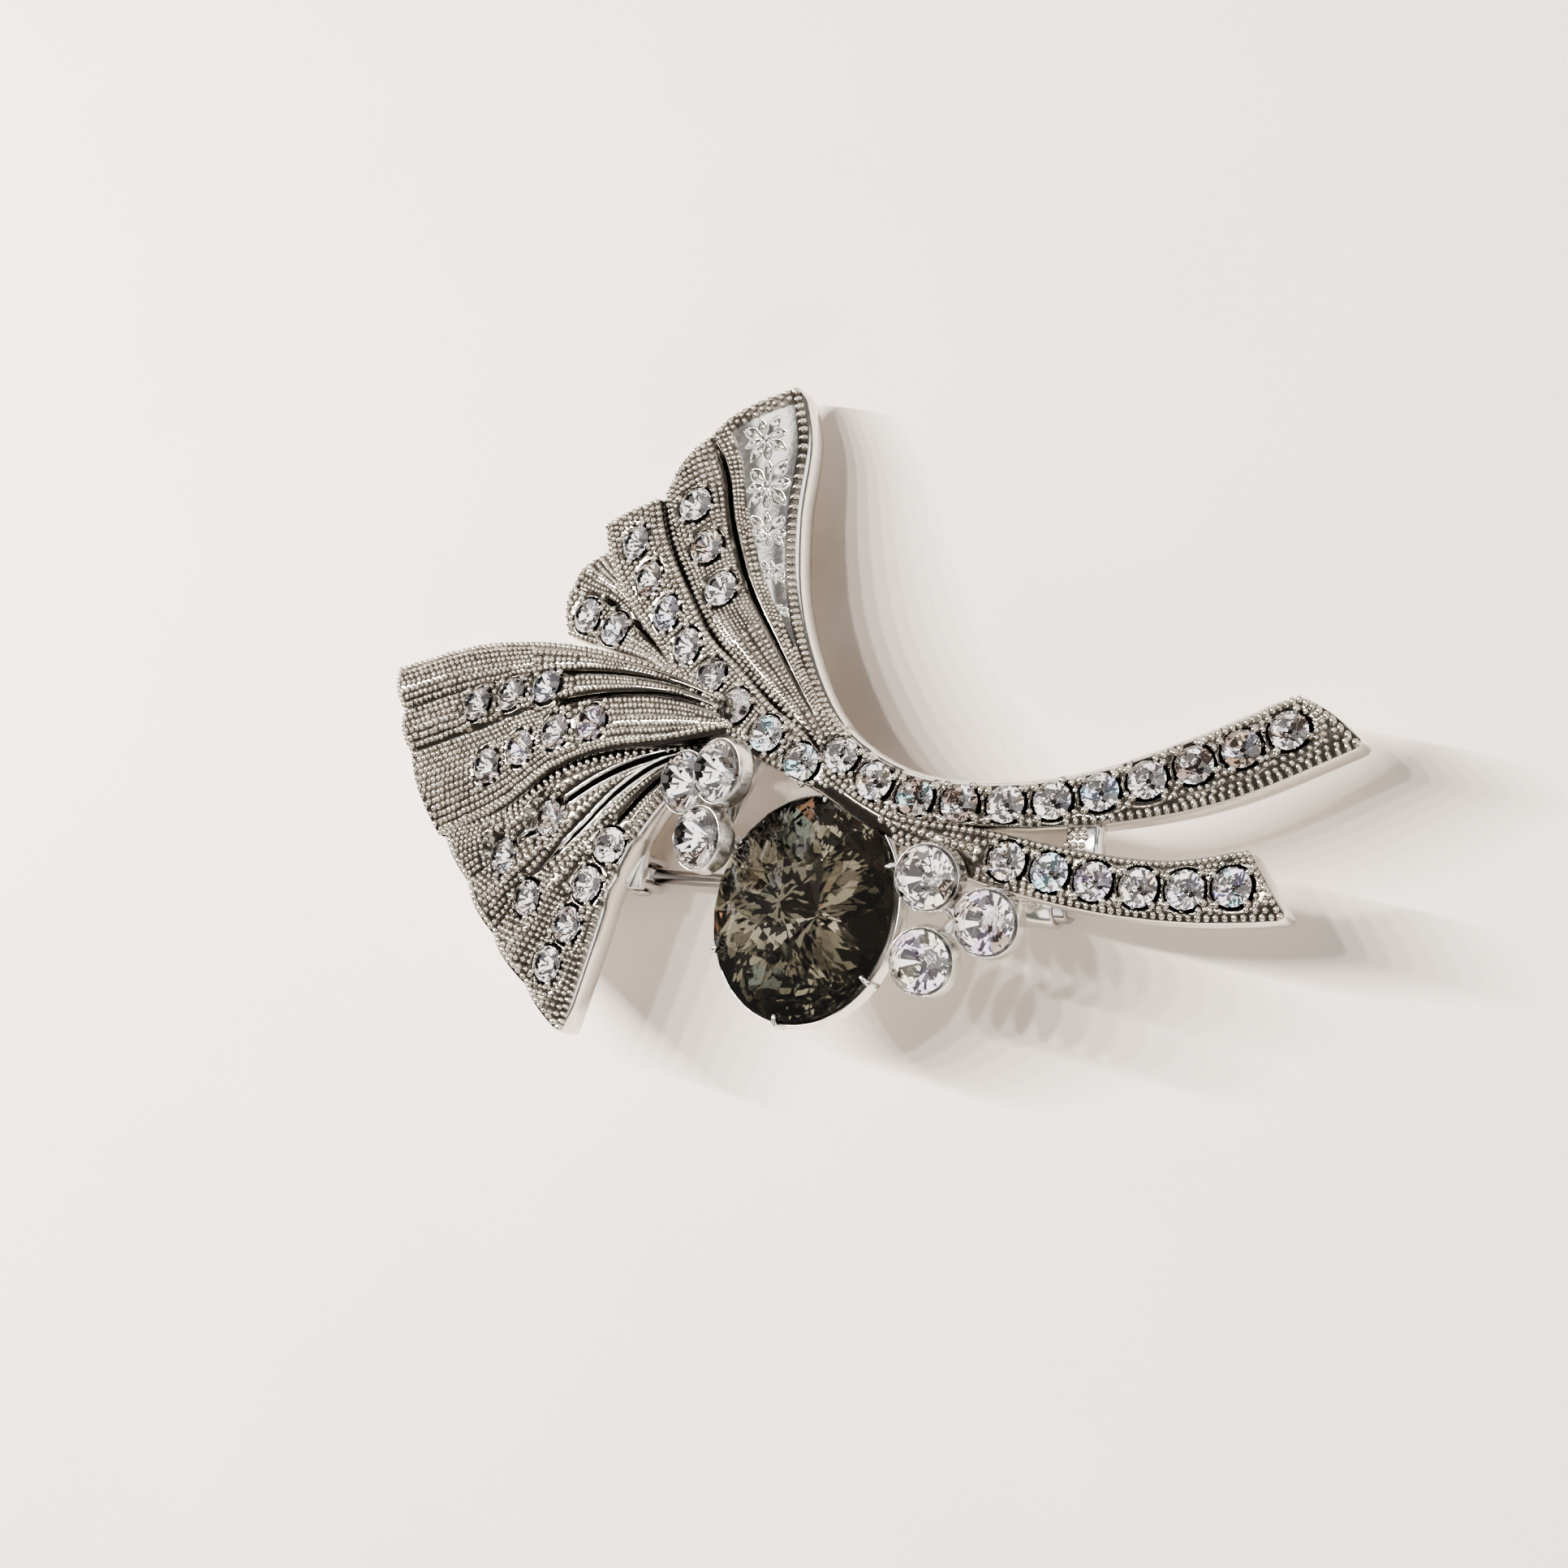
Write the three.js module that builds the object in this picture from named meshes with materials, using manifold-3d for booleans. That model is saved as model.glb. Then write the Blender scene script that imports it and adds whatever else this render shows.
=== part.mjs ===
// Ribbon spray brooch: a pleated, stone-set casting with a large centre stone, two clusters of
// chatons and a hinged pin with a turning safety catch on the back.
// Millimetres. +Z is the side that is worn outwards, -Z faces the cloth, +X runs towards the tails.
// The origin is the middle of the outline, at the level of the surface the brooch lies on.
import * as THREE from "three";
import { mergeVertices } from "three/addons/utils/BufferGeometryUtils.js";
import Module from "manifold-3d";

// ---- Driving dimensions ----------------------------------------------------------------------

const CASTING_THICKNESS = 2.1; // edge wall of the pleated casting
const SMALL_STONE = 2.3; // girdle diameter of the pave stones
const SMALL_CROWN = 0.45; // height of a pave stone above its girdle
const SMALL_BACK = 0.95; // depth below the girdle
const CHATON = 3.7; // girdle diameter of the cluster stones
const CHATON_CROWN = 0.7;
const CHATON_BACK = 1.25;
const TABLE_SHARE = 0.55; // a stone's flat table against its girdle
const CENTRE_STONE = 13.7; // girdle diameter of the centre stone
const CENTRE_CROWN = 2.2;
const CENTRE_BACK = 2.5;
const CUP_WALL = 0.25;
const CUP_RIM = 0.15; // rim of a cup above the stone's girdle
const CHATON_CUP = { diameter: CHATON, depth: 1.7, wallDepth: 1.2, footShare: 0.85 };
const CENTRE_CUP = { diameter: CENTRE_STONE, depth: 3.0, wallDepth: 1.0, footShare: 0.5 };
const SEAT_GAP = 0.08; // air between a stone and the metal round it
const SOLDER_GAP = 0.1; // air left where two pieces are soldered together

const PIN_DIAMETER = 0.9;
const PIN_HEIGHT = 1.4; // axis of the closed pin above the surface the brooch lies on
const HINGE_POINT = new THREE.Vector3(-13.3, -10.4, PIN_HEIGHT);
const CATCH_POINT = new THREE.Vector3(14.2, -11.7, PIN_HEIGHT); // middle of the catch
const PIN_OVERHANG = 1.9; // pin past the middle of the catch
const FINDING_RADIUS = 1.4; // hinge ears and catch barrel
const EAR_THICKNESS = 0.45;
const EYE_RADIUS = 1.05;
const EYE_THICKNESS = 0.9;
const PLAY = 0.1; // between the pin's eye and each ear, and between the rotor and the barrel
const RIVET_DIAMETER = 0.8;
const CATCH_LENGTH = 2.6;
const ROTOR_RADIUS = 1.05;
const ROTOR_BORE = 0.65; // radius of the space that the pin lies in
const CATCH_SLOT = 1.2; // width of the slot that lets the pin out
const PLATE_THICKNESS = 0.7;

const SLIVER = 0.01; // finest detail that is kept after joining and cutting

// ---- Materials -------------------------------------------------------------------------------

const PLATED = { color: 0xc9cbcd, roughness: 0.22, metalness: 1 };
const CLEAR_GLASS = { color: 0xe8ebf2, roughness: 0.04, metalness: 0 };
const SMOKY_GLASS = { color: 0x3a3b34, roughness: 0.04, metalness: 0 };

// ---- Solids ----------------------------------------------------------------------------------

const wasm = await Module();
wasm.setup();

// A closed geometry as a manifold-3d solid.
function solidOf(geometry, matrix = new THREE.Matrix4()) {
  const placed = new THREE.BufferGeometry();
  const source = geometry.index ? geometry.toNonIndexed() : geometry;
  placed.setAttribute("position", source.getAttribute("position").clone());
  placed.applyMatrix4(matrix);
  const merged = mergeVertices(placed, 1e-4);
  return new wasm.Manifold(
    new wasm.Mesh({
      numProp: 3,
      vertProperties: merged.attributes.position.array,
      triVerts: new Uint32Array(merged.index.array),
    }),
  );
}

// A joined or cut solid as a geometry, without the slivers that cutting leaves.
function geometryOf(solid) {
  const mesh = solid.simplify(SLIVER).getMesh();
  const geometry = new THREE.BufferGeometry();
  geometry.setAttribute("position", new THREE.Float32BufferAttribute(mesh.vertProperties, 3));
  geometry.setIndex([...mesh.triVerts]);
  geometry.computeVertexNormals();
  return geometry;
}

function join(solids) {
  return solids.reduce((all, solid) => all.add(solid));
}

// A turned solid about Z, from [radius, height] corners that go round the profile anticlockwise.
function turned(corners, sides) {
  const profile = corners.map(([radius, height]) => new THREE.Vector2(radius, height));
  return new THREE.LatheGeometry(profile, sides).rotateX(Math.PI / 2);
}

// A straight bar of the given width and height whose middle line runs between two points.
function bar(from, to, width, height) {
  const along = to.clone().sub(from);
  const matrix = new THREE.Matrix4();
  const x = along.clone().normalize();
  const y = new THREE.Vector3(0, 0, 1).cross(x).normalize();
  matrix.makeBasis(x, y, x.clone().cross(y));
  matrix.setPosition(from.clone().add(to).multiplyScalar(0.5));
  return solidOf(new THREE.BoxGeometry(along.length(), width, height), matrix);
}

// The matrix that stands a piece made along +Z on a point, leaning to the given direction.
function standing(point, direction) {
  const turn = new THREE.Quaternion();
  turn.setFromUnitVectors(new THREE.Vector3(0, 0, 1), direction.clone().normalize());
  return new THREE.Matrix4().compose(point, turn, new THREE.Vector3(1, 1, 1));
}

// ---- Ribbons: the pleated sheets that make up the casting -------------------------------------

// A sheet that runs along u from 0 to 1 between guide curves set side by side from v = 0 to 1.
// pleats[i] is how many pleats lie between guide i and the next. crown(u) is the pleats' height.
class Ribbon {
  constructor({ guides, pleats, crown, steps }) {
    this.guides = guides.map((points) => {
      const corners = points.map(([x, y, z]) => new THREE.Vector3(x, y, z));
      return new THREE.CatmullRomCurve3(corners);
    });
    this.pleats = pleats;
    this.pleatCount = pleats.reduce((sum, count) => sum + count);
    this.crown = crown;
    this.steps = steps;
  }

  // The smooth surface that the pleats stand on.
  base(u, v) {
    const across = new THREE.CatmullRomCurve3(this.guides.map((guide) => guide.getPoint(u)));
    let pleat = v * this.pleatCount;
    let guide = 0;
    while (guide < this.pleats.length - 1 && pleat > this.pleats[guide]) {
      pleat -= this.pleats[guide];
      guide += 1;
    }
    return across.getPoint((guide + pleat / this.pleats[guide]) / this.pleats.length);
  }

  // The outer face, where each pleat is an arch between two grooves.
  face(u, v) {
    const inPleat = (v * this.pleatCount) % 1;
    const point = this.base(u, v);
    point.z += this.crown(u) * 4 * inPleat * (1 - inPleat);
    return point;
  }

  // Where a stone sits: on the face, square to the sheet.
  seat(u, v) {
    const step = 0.01;
    const along = this.base(Math.min(u + step, 1), v).sub(this.base(Math.max(u - step, 0), v));
    const across = this.base(u, Math.min(v + step, 1)).sub(this.base(u, Math.max(v - step, 0)));
    const normal = along.cross(across).normalize();
    if (normal.z < 0) normal.negate();
    return standing(this.face(u, v), normal);
  }

  // Seats along the sheet at v, the first one at u, the others a pitch apart.
  rowOfSeats({ u, v, pitch, count }) {
    const step = 0.0005;
    const seats = [this.seat(u, v)];
    let last = this.face(u, v);
    while (seats.length < count && u < 1) {
      u += step;
      if (this.face(u, v).distanceTo(last) >= pitch) {
        seats.push(this.seat(u, v));
        last = this.face(u, v);
      }
    }
    return seats;
  }

  // The closed body between the face and the plain back, one thickness below.
  body() {
    const arcs = 4;
    const across = this.pleatCount * arcs;
    const positions = [];
    for (let i = 0; i <= this.steps; i++) {
      const u = i / this.steps;
      const ring = [];
      for (let j = 0; j <= across; j++) ring.push(this.face(u, j / across));
      for (let j = across; j >= 0; j--) {
        const back = this.base(u, j / across);
        back.z -= CASTING_THICKNESS;
        ring.push(back);
      }
      ring.forEach((point) => positions.push(point.x, point.y, point.z));
    }
    return solidOf(skin(positions, this.steps + 1, 2 * (across + 1)));
  }
}

// Joins rings of points into a closed surface, with a flat fan of strips over each end ring.
function skin(positions, rings, ringSize) {
  const index = [];
  const at = (ring, k) => ring * ringSize + (k % ringSize);
  for (let ring = 0; ring < rings - 1; ring++) {
    for (let k = 0; k < ringSize; k++) {
      index.push(at(ring, k), at(ring, k + 1), at(ring + 1, k + 1));
      index.push(at(ring, k), at(ring + 1, k + 1), at(ring + 1, k));
    }
  }
  const last = rings - 1;
  for (let k = 0; k < ringSize / 2 - 1; k++) {
    const mirror = ringSize - 1 - k;
    index.push(at(0, k), at(0, mirror), at(0, mirror - 1));
    index.push(at(0, k), at(0, mirror - 1), at(0, k + 1));
    index.push(at(last, k), at(last, mirror - 1), at(last, mirror));
    index.push(at(last, k), at(last, k + 1), at(last, mirror - 1));
  }
  const geometry = new THREE.BufferGeometry();
  geometry.setAttribute("position", new THREE.Float32BufferAttribute(positions, 3));
  geometry.setIndex(index);
  const solid = solidOf(geometry);
  if (solid.volume() < 0) {
    for (let i = 0; i < index.length; i += 3) [index[i], index[i + 1]] = [index[i + 1], index[i]];
    geometry.setIndex(index);
  }
  return geometry;
}

// From the upper fan's tip, down its outer edge, through the neck to the end of the upper tail.
const upperRibbon = new Ribbon({
  guides: [
    [
      [-5.0, 21.4, 2.8],
      [-3.6, 17.5, 3.6],
      [-3.2, 12.0, 4.6],
      [-2.3, 7.0, 5.3],
      [-0.6, 2.8, 6.1],
      [1.9, -1.2, 6.9],
      [4.5, -3.6, 7.4],
      [8.3, -5.4, 7.3],
      [13.5, -5.8, 6.9],
      [18.6, -5.1, 6.4],
      [25.2, -2.7, 5.7],
      [30.5, -0.2, 5.1],
    ],
    [
      [-10.4, 18.1, 3.8],
      [-8.7, 15.2, 4.4],
      [-7.4, 11.6, 5.1],
      [-5.3, 7.3, 5.9],
      [-2.5, 3.3, 6.6],
      [0.6, -0.8, 7.4],
      [3.4, -4.1, 7.9],
      [7.3, -6.3, 7.7],
      [13.2, -6.9, 7.2],
      [18.9, -6.2, 6.7],
      [25.6, -4.1, 6.0],
      [32.4, -1.3, 5.3],
    ],
    [
      [-13.0, 13.6, 4.5],
      [-11.8, 10.8, 5.1],
      [-10.0, 8.0, 5.7],
      [-7.9, 4.8, 6.2],
      [-5.0, 1.8, 6.7],
      [-1.3, -1.2, 7.3],
      [2.2, -4.6, 7.7],
      [6.2, -7.3, 7.5],
      [13.0, -8.1, 7.1],
      [19.3, -7.9, 6.5],
      [26.6, -6.4, 5.8],
      [34.4, -3.0, 5.1],
    ],
  ],
  pleats: [1, 1],
  crown: (u) => 0.1 + 0.5 * Math.max(0, 1 - 2 * u),
  steps: 24,
});

// From the upper fan's left corner, along the main row of stones to the end of the lower tail.
const lowerRibbon = new Ribbon({
  guides: [
    [
      [-13.0, 13.5, 5.3],
      [-11.6, 10.4, 6.0],
      [-9.4, 7.0, 6.6],
      [-6.9, 3.6, 7.2],
      [-4.3, 1.4, 7.6],
      [-1.6, -1.0, 8.0],
      [1.2, -3.0, 8.2],
      [3.6, -5.6, 8.0],
      [7.0, -7.5, 7.5],
      [12.5, -8.3, 6.9],
      [19.0, -9.5, 6.5],
      [24.0, -9.9, 6.3],
      [28.5, -9.2, 6.1],
    ],
    [
      [-17.7, 12.3, 4.0],
      [-16.4, 9.4, 4.6],
      [-14.0, 6.2, 5.3],
      [-11.2, 3.4, 6.1],
      [-8.4, 0.6, 7.0],
      [-5.2, -2.2, 7.9],
      [-1.6, -4.5, 8.2],
      [1.8, -6.0, 8.0],
      [5.8, -8.4, 7.4],
      [11.0, -10.8, 6.9],
      [18.6, -12.7, 6.5],
      [24.8, -13.3, 6.3],
      [31.0, -13.1, 6.1],
    ],
  ],
  pleats: [1],
  crown: () => 0.25,
  steps: 26,
});

// The small lobe that shows behind the main row's left edge.
const backLobe = new Ribbon({
  guides: [
    [
      [-8.6, 1.2, 6.2],
      [-12.5, 5.2, 4.9],
      [-15.2, 8.4, 4.2],
      [-17.4, 10.6, 3.6],
    ],
    [
      [-8.3, 0.8, 6.4],
      [-12.6, 4.2, 4.8],
      [-16.2, 6.8, 4.0],
      [-20.1, 8.6, 3.1],
    ],
    [
      [-8.1, 0.3, 6.6],
      [-12.2, 2.6, 5.4],
      [-16.2, 3.9, 4.2],
      [-20.2, 5.2, 3.0],
    ],
  ],
  pleats: [1, 1],
  crown: (u) => 0.2 + 0.3 * u,
  steps: 5,
});

// The lower fan's upper half, which runs on from the main row.
const fanTop = new Ribbon({
  guides: [
    [
      [-4.1, -0.8, 7.9],
      [-8.6, 1.2, 7.1],
      [-14.5, 3.0, 5.9],
      [-20.5, 4.2, 4.7],
      [-27.0, 4.5, 3.4],
      [-34.2, 3.4, 2.2],
    ],
    [
      [-4.2, -1.6, 8.0],
      [-8.8, -0.3, 7.7],
      [-13.8, 0.1, 6.9],
      [-19.5, -0.3, 5.9],
      [-25.2, -1.5, 4.7],
      [-31.8, -2.6, 2.8],
    ],
    [
      [-4.3, -2.6, 8.1],
      [-8.8, -3.3, 7.9],
      [-13.4, -3.5, 7.3],
      [-17.6, -4.5, 6.5],
      [-21.8, -6.8, 5.4],
      [-28.0, -8.6, 3.5],
    ],
  ],
  pleats: [2, 1],
  crown: (u) => 0.2 + 0.45 * u,
  steps: 9,
});

// The lower fan's lower half, which comes out from under the upper half.
const fanBottom = new Ribbon({
  guides: [
    [
      [-6.0, -2.6, 6.0],
      [-9.2, -3.2, 6.5],
      [-13.4, -3.6, 6.5],
      [-17.6, -4.6, 6.0],
      [-21.8, -6.9, 5.1],
      [-27.9, -7.9, 3.3],
    ],
    [
      [-6.3, -3.2, 5.9],
      [-9.6, -4.3, 6.7],
      [-12.4, -6.1, 6.8],
      [-14.9, -8.3, 6.5],
      [-18.0, -10.9, 5.9],
      [-22.0, -15.0, 4.8],
    ],
    [
      [-6.6, -4.2, 5.6],
      [-8.9, -5.7, 6.0],
      [-10.6, -8.1, 6.4],
      [-12.1, -11.4, 6.8],
      [-13.3, -16.0, 6.8],
      [-14.9, -21.4, 6.5],
    ],
  ],
  pleats: [2, 2],
  crown: (u) => 0.15 + 0.5 * u,
  steps: 9,
});

const ribbons = [upperRibbon, lowerRibbon, backLobe, fanTop, fanBottom];

// ---- Rows of pave stones ---------------------------------------------------------------------

const rows = [
  { name: "upper_tail_stone", ribbon: upperRibbon, u: 0.545, v: 0.5, pitch: 2.8, count: 11 },
  { name: "main_row_stone", ribbon: lowerRibbon, u: 0.064, v: 0.5, pitch: 3.15, count: 8 },
  { name: "lower_tail_stone", ribbon: lowerRibbon, u: 0.781, v: 0.5, pitch: 2.7, count: 6 },
  { name: "upper_fan_stone", ribbon: upperRibbon, u: 0.095, v: 0.75, pitch: 3.4, count: 3 },
  { name: "back_lobe_stone", ribbon: backLobe, u: 0.62, v: 0.75, pitch: 2.9, count: 2 },
  { name: "fan_top_stone", ribbon: fanTop, u: 0.585, v: 0.48, pitch: 3.1, count: 3 },
  { name: "fan_middle_stone", ribbon: fanTop, u: 0.45, v: 0.83, pitch: 3.1, count: 4 },
  { name: "fan_edge_stone", ribbon: fanBottom, u: 0.55, v: 0.825, pitch: 2.8, count: 4 },
  { name: "fan_lower_stone", ribbon: fanBottom, u: 0.7, v: 0.25, pitch: 4.6, count: 2 },
  { name: "fan_pleat_stone", ribbon: fanBottom, u: 0.875, v: 0.54, pitch: SMALL_STONE, count: 1 },
];

// ---- Stones ----------------------------------------------------------------------------------

// A round stone with its girdle at height 0: a flat table, a sloping crown and a pointed back.
function stone(diameter, crownHeight, backHeight, sides) {
  const radius = diameter / 2;
  const corners = [
    [0, -backHeight],
    [radius, 0],
    [radius * TABLE_SHARE, crownHeight],
    [0, crownHeight],
  ];
  return turned(corners, sides);
}

const smallStone = () => stone(SMALL_STONE, SMALL_CROWN, SMALL_BACK, 8);
const chaton = () => stone(CHATON, CHATON_CROWN, CHATON_BACK, 10);

// The centre stone comes to a point at the front as well as at the back.
function centreStone() {
  const corners = [
    [0, -CENTRE_BACK],
    [CENTRE_STONE / 2, 0],
    [0, CENTRE_CROWN],
  ];
  return turned(corners, 24);
}

const ROOM_ABOVE = 1.6; // how far the cut for a stone goes on above its girdle

// The profile of the space that a stone takes in its seat, open at the top.
function stoneRoom(diameter, backHeight) {
  const radius = diameter / 2 + SEAT_GAP;
  return [
    [0, -backHeight - 2 * SEAT_GAP],
    [radius, -SEAT_GAP],
    [radius, ROOM_ABOVE],
    [0, ROOM_ABOVE],
  ];
}

// The hole that a pave stone sits in.
function seatHole() {
  return turned(stoneRoom(SMALL_STONE, SMALL_BACK), 8);
}

// ---- Cups ------------------------------------------------------------------------------------

// A cup for a round stone, before the stone's room is cut out of it. Its wall is upright down to
// wallDepth and then draws in to the share footShare of its width.
function cup({ diameter, depth, wallDepth, footShare }, sides) {
  const outer = diameter / 2 + SEAT_GAP + CUP_WALL;
  const corners = [
    [0, -depth],
    [outer * footShare, -depth],
    [outer, -wallDepth],
    [outer, CUP_RIM],
    [0, CUP_RIM],
  ];
  return turned(corners, sides);
}

// ---- Assembly --------------------------------------------------------------------------------

const brooch = new THREE.Group();

function addMesh(name, geometry, look, matrix = new THREE.Matrix4(), parent = brooch) {
  const mesh = new THREE.Mesh(geometry, new THREE.MeshStandardMaterial(look));
  mesh.name = name;
  mesh.applyMatrix4(matrix);
  parent.add(mesh);
  return mesh;
}

// Pave stones, and the holes they leave in the casting.
const seatHoles = [];
for (const row of rows) {
  row.ribbon.rowOfSeats(row).forEach((seat, i) => {
    addMesh(`${row.name}_${i + 1}`, smallStone(), CLEAR_GLASS, seat);
    seatHoles.push(solidOf(seatHole(), seat));
  });
}

// Centre stone in its claw cup.
const CENTRE_POINT = new THREE.Vector3(1.2, -13.2, 6.6);
const CENTRE_LEAN = new THREE.Vector3(-0.18, 0.01, 0.98);
const centrePlace = standing(CENTRE_POINT, CENTRE_LEAN);
addMesh("centre_stone", centreStone(), SMOKY_GLASS, centrePlace);

const CLAWS = 6;
const CLAW_WIDTH = 0.7;
const CLAW_STANDS_OUT = 0.12; // from the cup's wall
function claw(turn) {
  const outer = CENTRE_STONE / 2 + SEAT_GAP + CUP_WALL;
  const outline = new THREE.Shape();
  outline.moveTo(outer - 0.02, -0.6);
  outline.lineTo(outer + CLAW_STANDS_OUT, -0.6);
  outline.lineTo(outer + CLAW_STANDS_OUT, 0.35);
  outline.lineTo(outer - 0.9, 0.62);
  outline.lineTo(outer - 0.95, 0.5);
  outline.lineTo(outer - 0.14, 0.2);
  outline.lineTo(outer - 0.14, 0);
  const plate = new THREE.ExtrudeGeometry(outline, { depth: CLAW_WIDTH, bevelEnabled: false });
  plate.translate(0, 0, -CLAW_WIDTH / 2).rotateX(Math.PI / 2).rotateZ(turn);
  return solidOf(plate);
}
const BACK_HOLE_RADIUS = 2.2; // lets the foil be seen and the casting cool evenly
const backHole = [
  [0, -2 * CENTRE_CUP.depth],
  [BACK_HOLE_RADIUS, -2 * CENTRE_CUP.depth],
  [BACK_HOLE_RADIUS, 0],
  [0, 0],
];
const centreCup = solidOf(cup(CENTRE_CUP, 24))
  .subtract(solidOf(turned(stoneRoom(CENTRE_STONE, CENTRE_BACK), 24)))
  .subtract(solidOf(turned(backHole, 12)));
const FIRST_CLAW = 0.35; // share of the step between claws
const claws = Array.from({ length: CLAWS }, (_, i) => claw((2 * Math.PI * (i + FIRST_CLAW)) / CLAWS));
const centreSetting = join([centreCup, ...claws]);
addMesh("centre_setting", geometryOf(centreSetting), PLATED, centrePlace);

// A solid as large as a cup with the solder gap round it, which cuts room for the cup.
function cupRoom({ diameter, depth, wallDepth, footShare }, gap, place, sides) {
  const outer = diameter / 2 + SEAT_GAP + CUP_WALL + gap;
  const corners = [
    [0, -depth - gap],
    [outer * footShare + gap, -depth - gap],
    [outer, -wallDepth - gap],
    [outer, ROOM_ABOVE],
    [0, ROOM_ABOVE],
  ];
  return solidOf(turned(corners, sides), place);
}
const centreRoom = cupRoom(CENTRE_CUP, CLAW_STANDS_OUT + SOLDER_GAP, centrePlace, 24);

// Clusters of three chatons.
const clusters = [
  {
    name: "left_cluster",
    lean: new THREE.Vector3(-0.3, -0.06, 0.95),
    points: [
      [-3.9, -5.5, 10.0],
      [-7.4, -5.7, 7.9],
      [-5.4, -9.4, 9.0],
    ],
    foot: [-4.4, -7.6, 7.0],
  },
  {
    name: "right_cluster",
    lean: new THREE.Vector3(0.06, -0.17, 0.97),
    points: [
      [10.2, -11.6, 8.9],
      [10.1, -16.4, 8.4],
      [13.8, -14.0, 8.1],
    ],
    foot: [11.3, -13.6, 6.4],
  },
];

const LEG_WIDTH = 1;
const LEG_HEIGHT = 0.9;
const LEG_OVERLAP = 0.2; // of a leg and the floor of its cup
const clusterRooms = [];
for (const { name, lean, points, foot } of clusters) {
  const places = points.map(([x, y, z]) => standing(new THREE.Vector3(x, y, z), lean));
  const cups = places.map((place) => solidOf(cup(CHATON_CUP, 12), place));
  const footPoint = new THREE.Vector3(...foot);
  const legTop = new THREE.Vector3(0, 0, LEG_OVERLAP - CHATON_CUP.depth);
  const legs = places.map((place) => {
    return bar(footPoint, legTop.clone().applyMatrix4(place), LEG_WIDTH, LEG_HEIGHT);
  });
  const stones = places.map((place) => solidOf(turned(stoneRoom(CHATON, CHATON_BACK), 10), place));
  const setting = join([...cups, ...legs]).subtract(join(stones)).subtract(centreRoom);
  addMesh(`${name}_setting`, geometryOf(setting), PLATED);
  places.forEach((place, i) => addMesh(`${name}_chaton_${i + 1}`, chaton(), CLEAR_GLASS, place));
  clusterRooms.push(...places.map((place) => cupRoom(CHATON_CUP, SOLDER_GAP, place, 12)));
}

// ---- Pin back --------------------------------------------------------------------------------

// The finding's own frame: x runs along the pin from the hinge to the catch, z towards the casting.
const finding = new THREE.Group();
const reach = CATCH_POINT.clone().sub(HINGE_POINT);
finding.position.copy(HINGE_POINT);
finding.rotation.z = Math.atan2(reach.y, reach.x);
finding.updateMatrixWorld(true);
brooch.add(finding);
const catchAt = reach.length();

// An outline in the finding's x-z plane, given a thickness along y from the given place.
function plateAcross(outline, from, thickness) {
  const geometry = new THREE.ExtrudeGeometry(outline, {
    depth: thickness,
    bevelEnabled: false,
    curveSegments: 6,
  });
  return geometry.rotateX(Math.PI / 2).translate(0, from + thickness, 0);
}

// An outline in the y-z plane, given a length along x from the given place.
function barrelAlong(outline, from, length) {
  const geometry = new THREE.ExtrudeGeometry(outline, {
    depth: length,
    bevelEnabled: false,
    curveSegments: 8,
  });
  return geometry.rotateX(Math.PI / 2).rotateZ(Math.PI / 2).translate(from, 0, 0);
}

function block({ size, middle }) {
  const geometry = new THREE.BoxGeometry(...size);
  return solidOf(geometry.translate(...middle));
}

function circleHole(radius) {
  const hole = new THREE.Path();
  hole.absarc(0, 0, radius, 0, 2 * Math.PI, true);
  return hole;
}

// Hinge bracket: two ears that hang from a plate on the casting's back.
const HINGE_PLATE_HEIGHT = 3.0; // underside of the plate above the pin's axis
const EAR_TOP = HINGE_PLATE_HEIGHT + 0.2;
const ear = new THREE.Shape();
ear.moveTo(FINDING_RADIUS, EAR_TOP);
ear.lineTo(-FINDING_RADIUS, EAR_TOP);
ear.absarc(0, 0, FINDING_RADIUS, Math.PI, 2 * Math.PI, false);
ear.holes.push(circleHole(RIVET_DIAMETER / 2 + PLAY / 2));
const earInside = EYE_THICKNESS / 2 + PLAY;
const hingeWidth = 2 * (earInside + EAR_THICKNESS);
const hingePlate = {
  size: [2 * FINDING_RADIUS + 1.4, hingeWidth + 0.8, PLATE_THICKNESS],
  middle: [0, 0, HINGE_PLATE_HEIGHT + PLATE_THICKNESS / 2],
};
const hingeBracket = join([
  solidOf(plateAcross(ear, earInside, EAR_THICKNESS)),
  solidOf(plateAcross(ear, -earInside - EAR_THICKNESS, EAR_THICKNESS)),
  block(hingePlate),
]);
addMesh("hinge_bracket", geometryOf(hingeBracket), PLATED, undefined, finding);

// Hinge rivet: a shank through both ears and the pin's eye, with a head at each end.
const RIVET_HEAD_HEIGHT = 0.25;
const RIVET_HEAD_RADIUS = 0.65;
const shank = hingeWidth / 2 + PLAY / 2;
const rivetEnd = shank + RIVET_HEAD_HEIGHT;
const rivetProfile = [
  [0, -rivetEnd],
  [RIVET_HEAD_RADIUS, -rivetEnd],
  [RIVET_HEAD_RADIUS, -shank],
  [RIVET_DIAMETER / 2, -shank],
  [RIVET_DIAMETER / 2, shank],
  [RIVET_HEAD_RADIUS, shank],
  [RIVET_HEAD_RADIUS, rivetEnd],
  [0, rivetEnd],
];
const rivet = turned(rivetProfile, 12).rotateX(Math.PI / 2);
addMesh("hinge_rivet", rivet, PLATED, undefined, finding);

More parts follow.
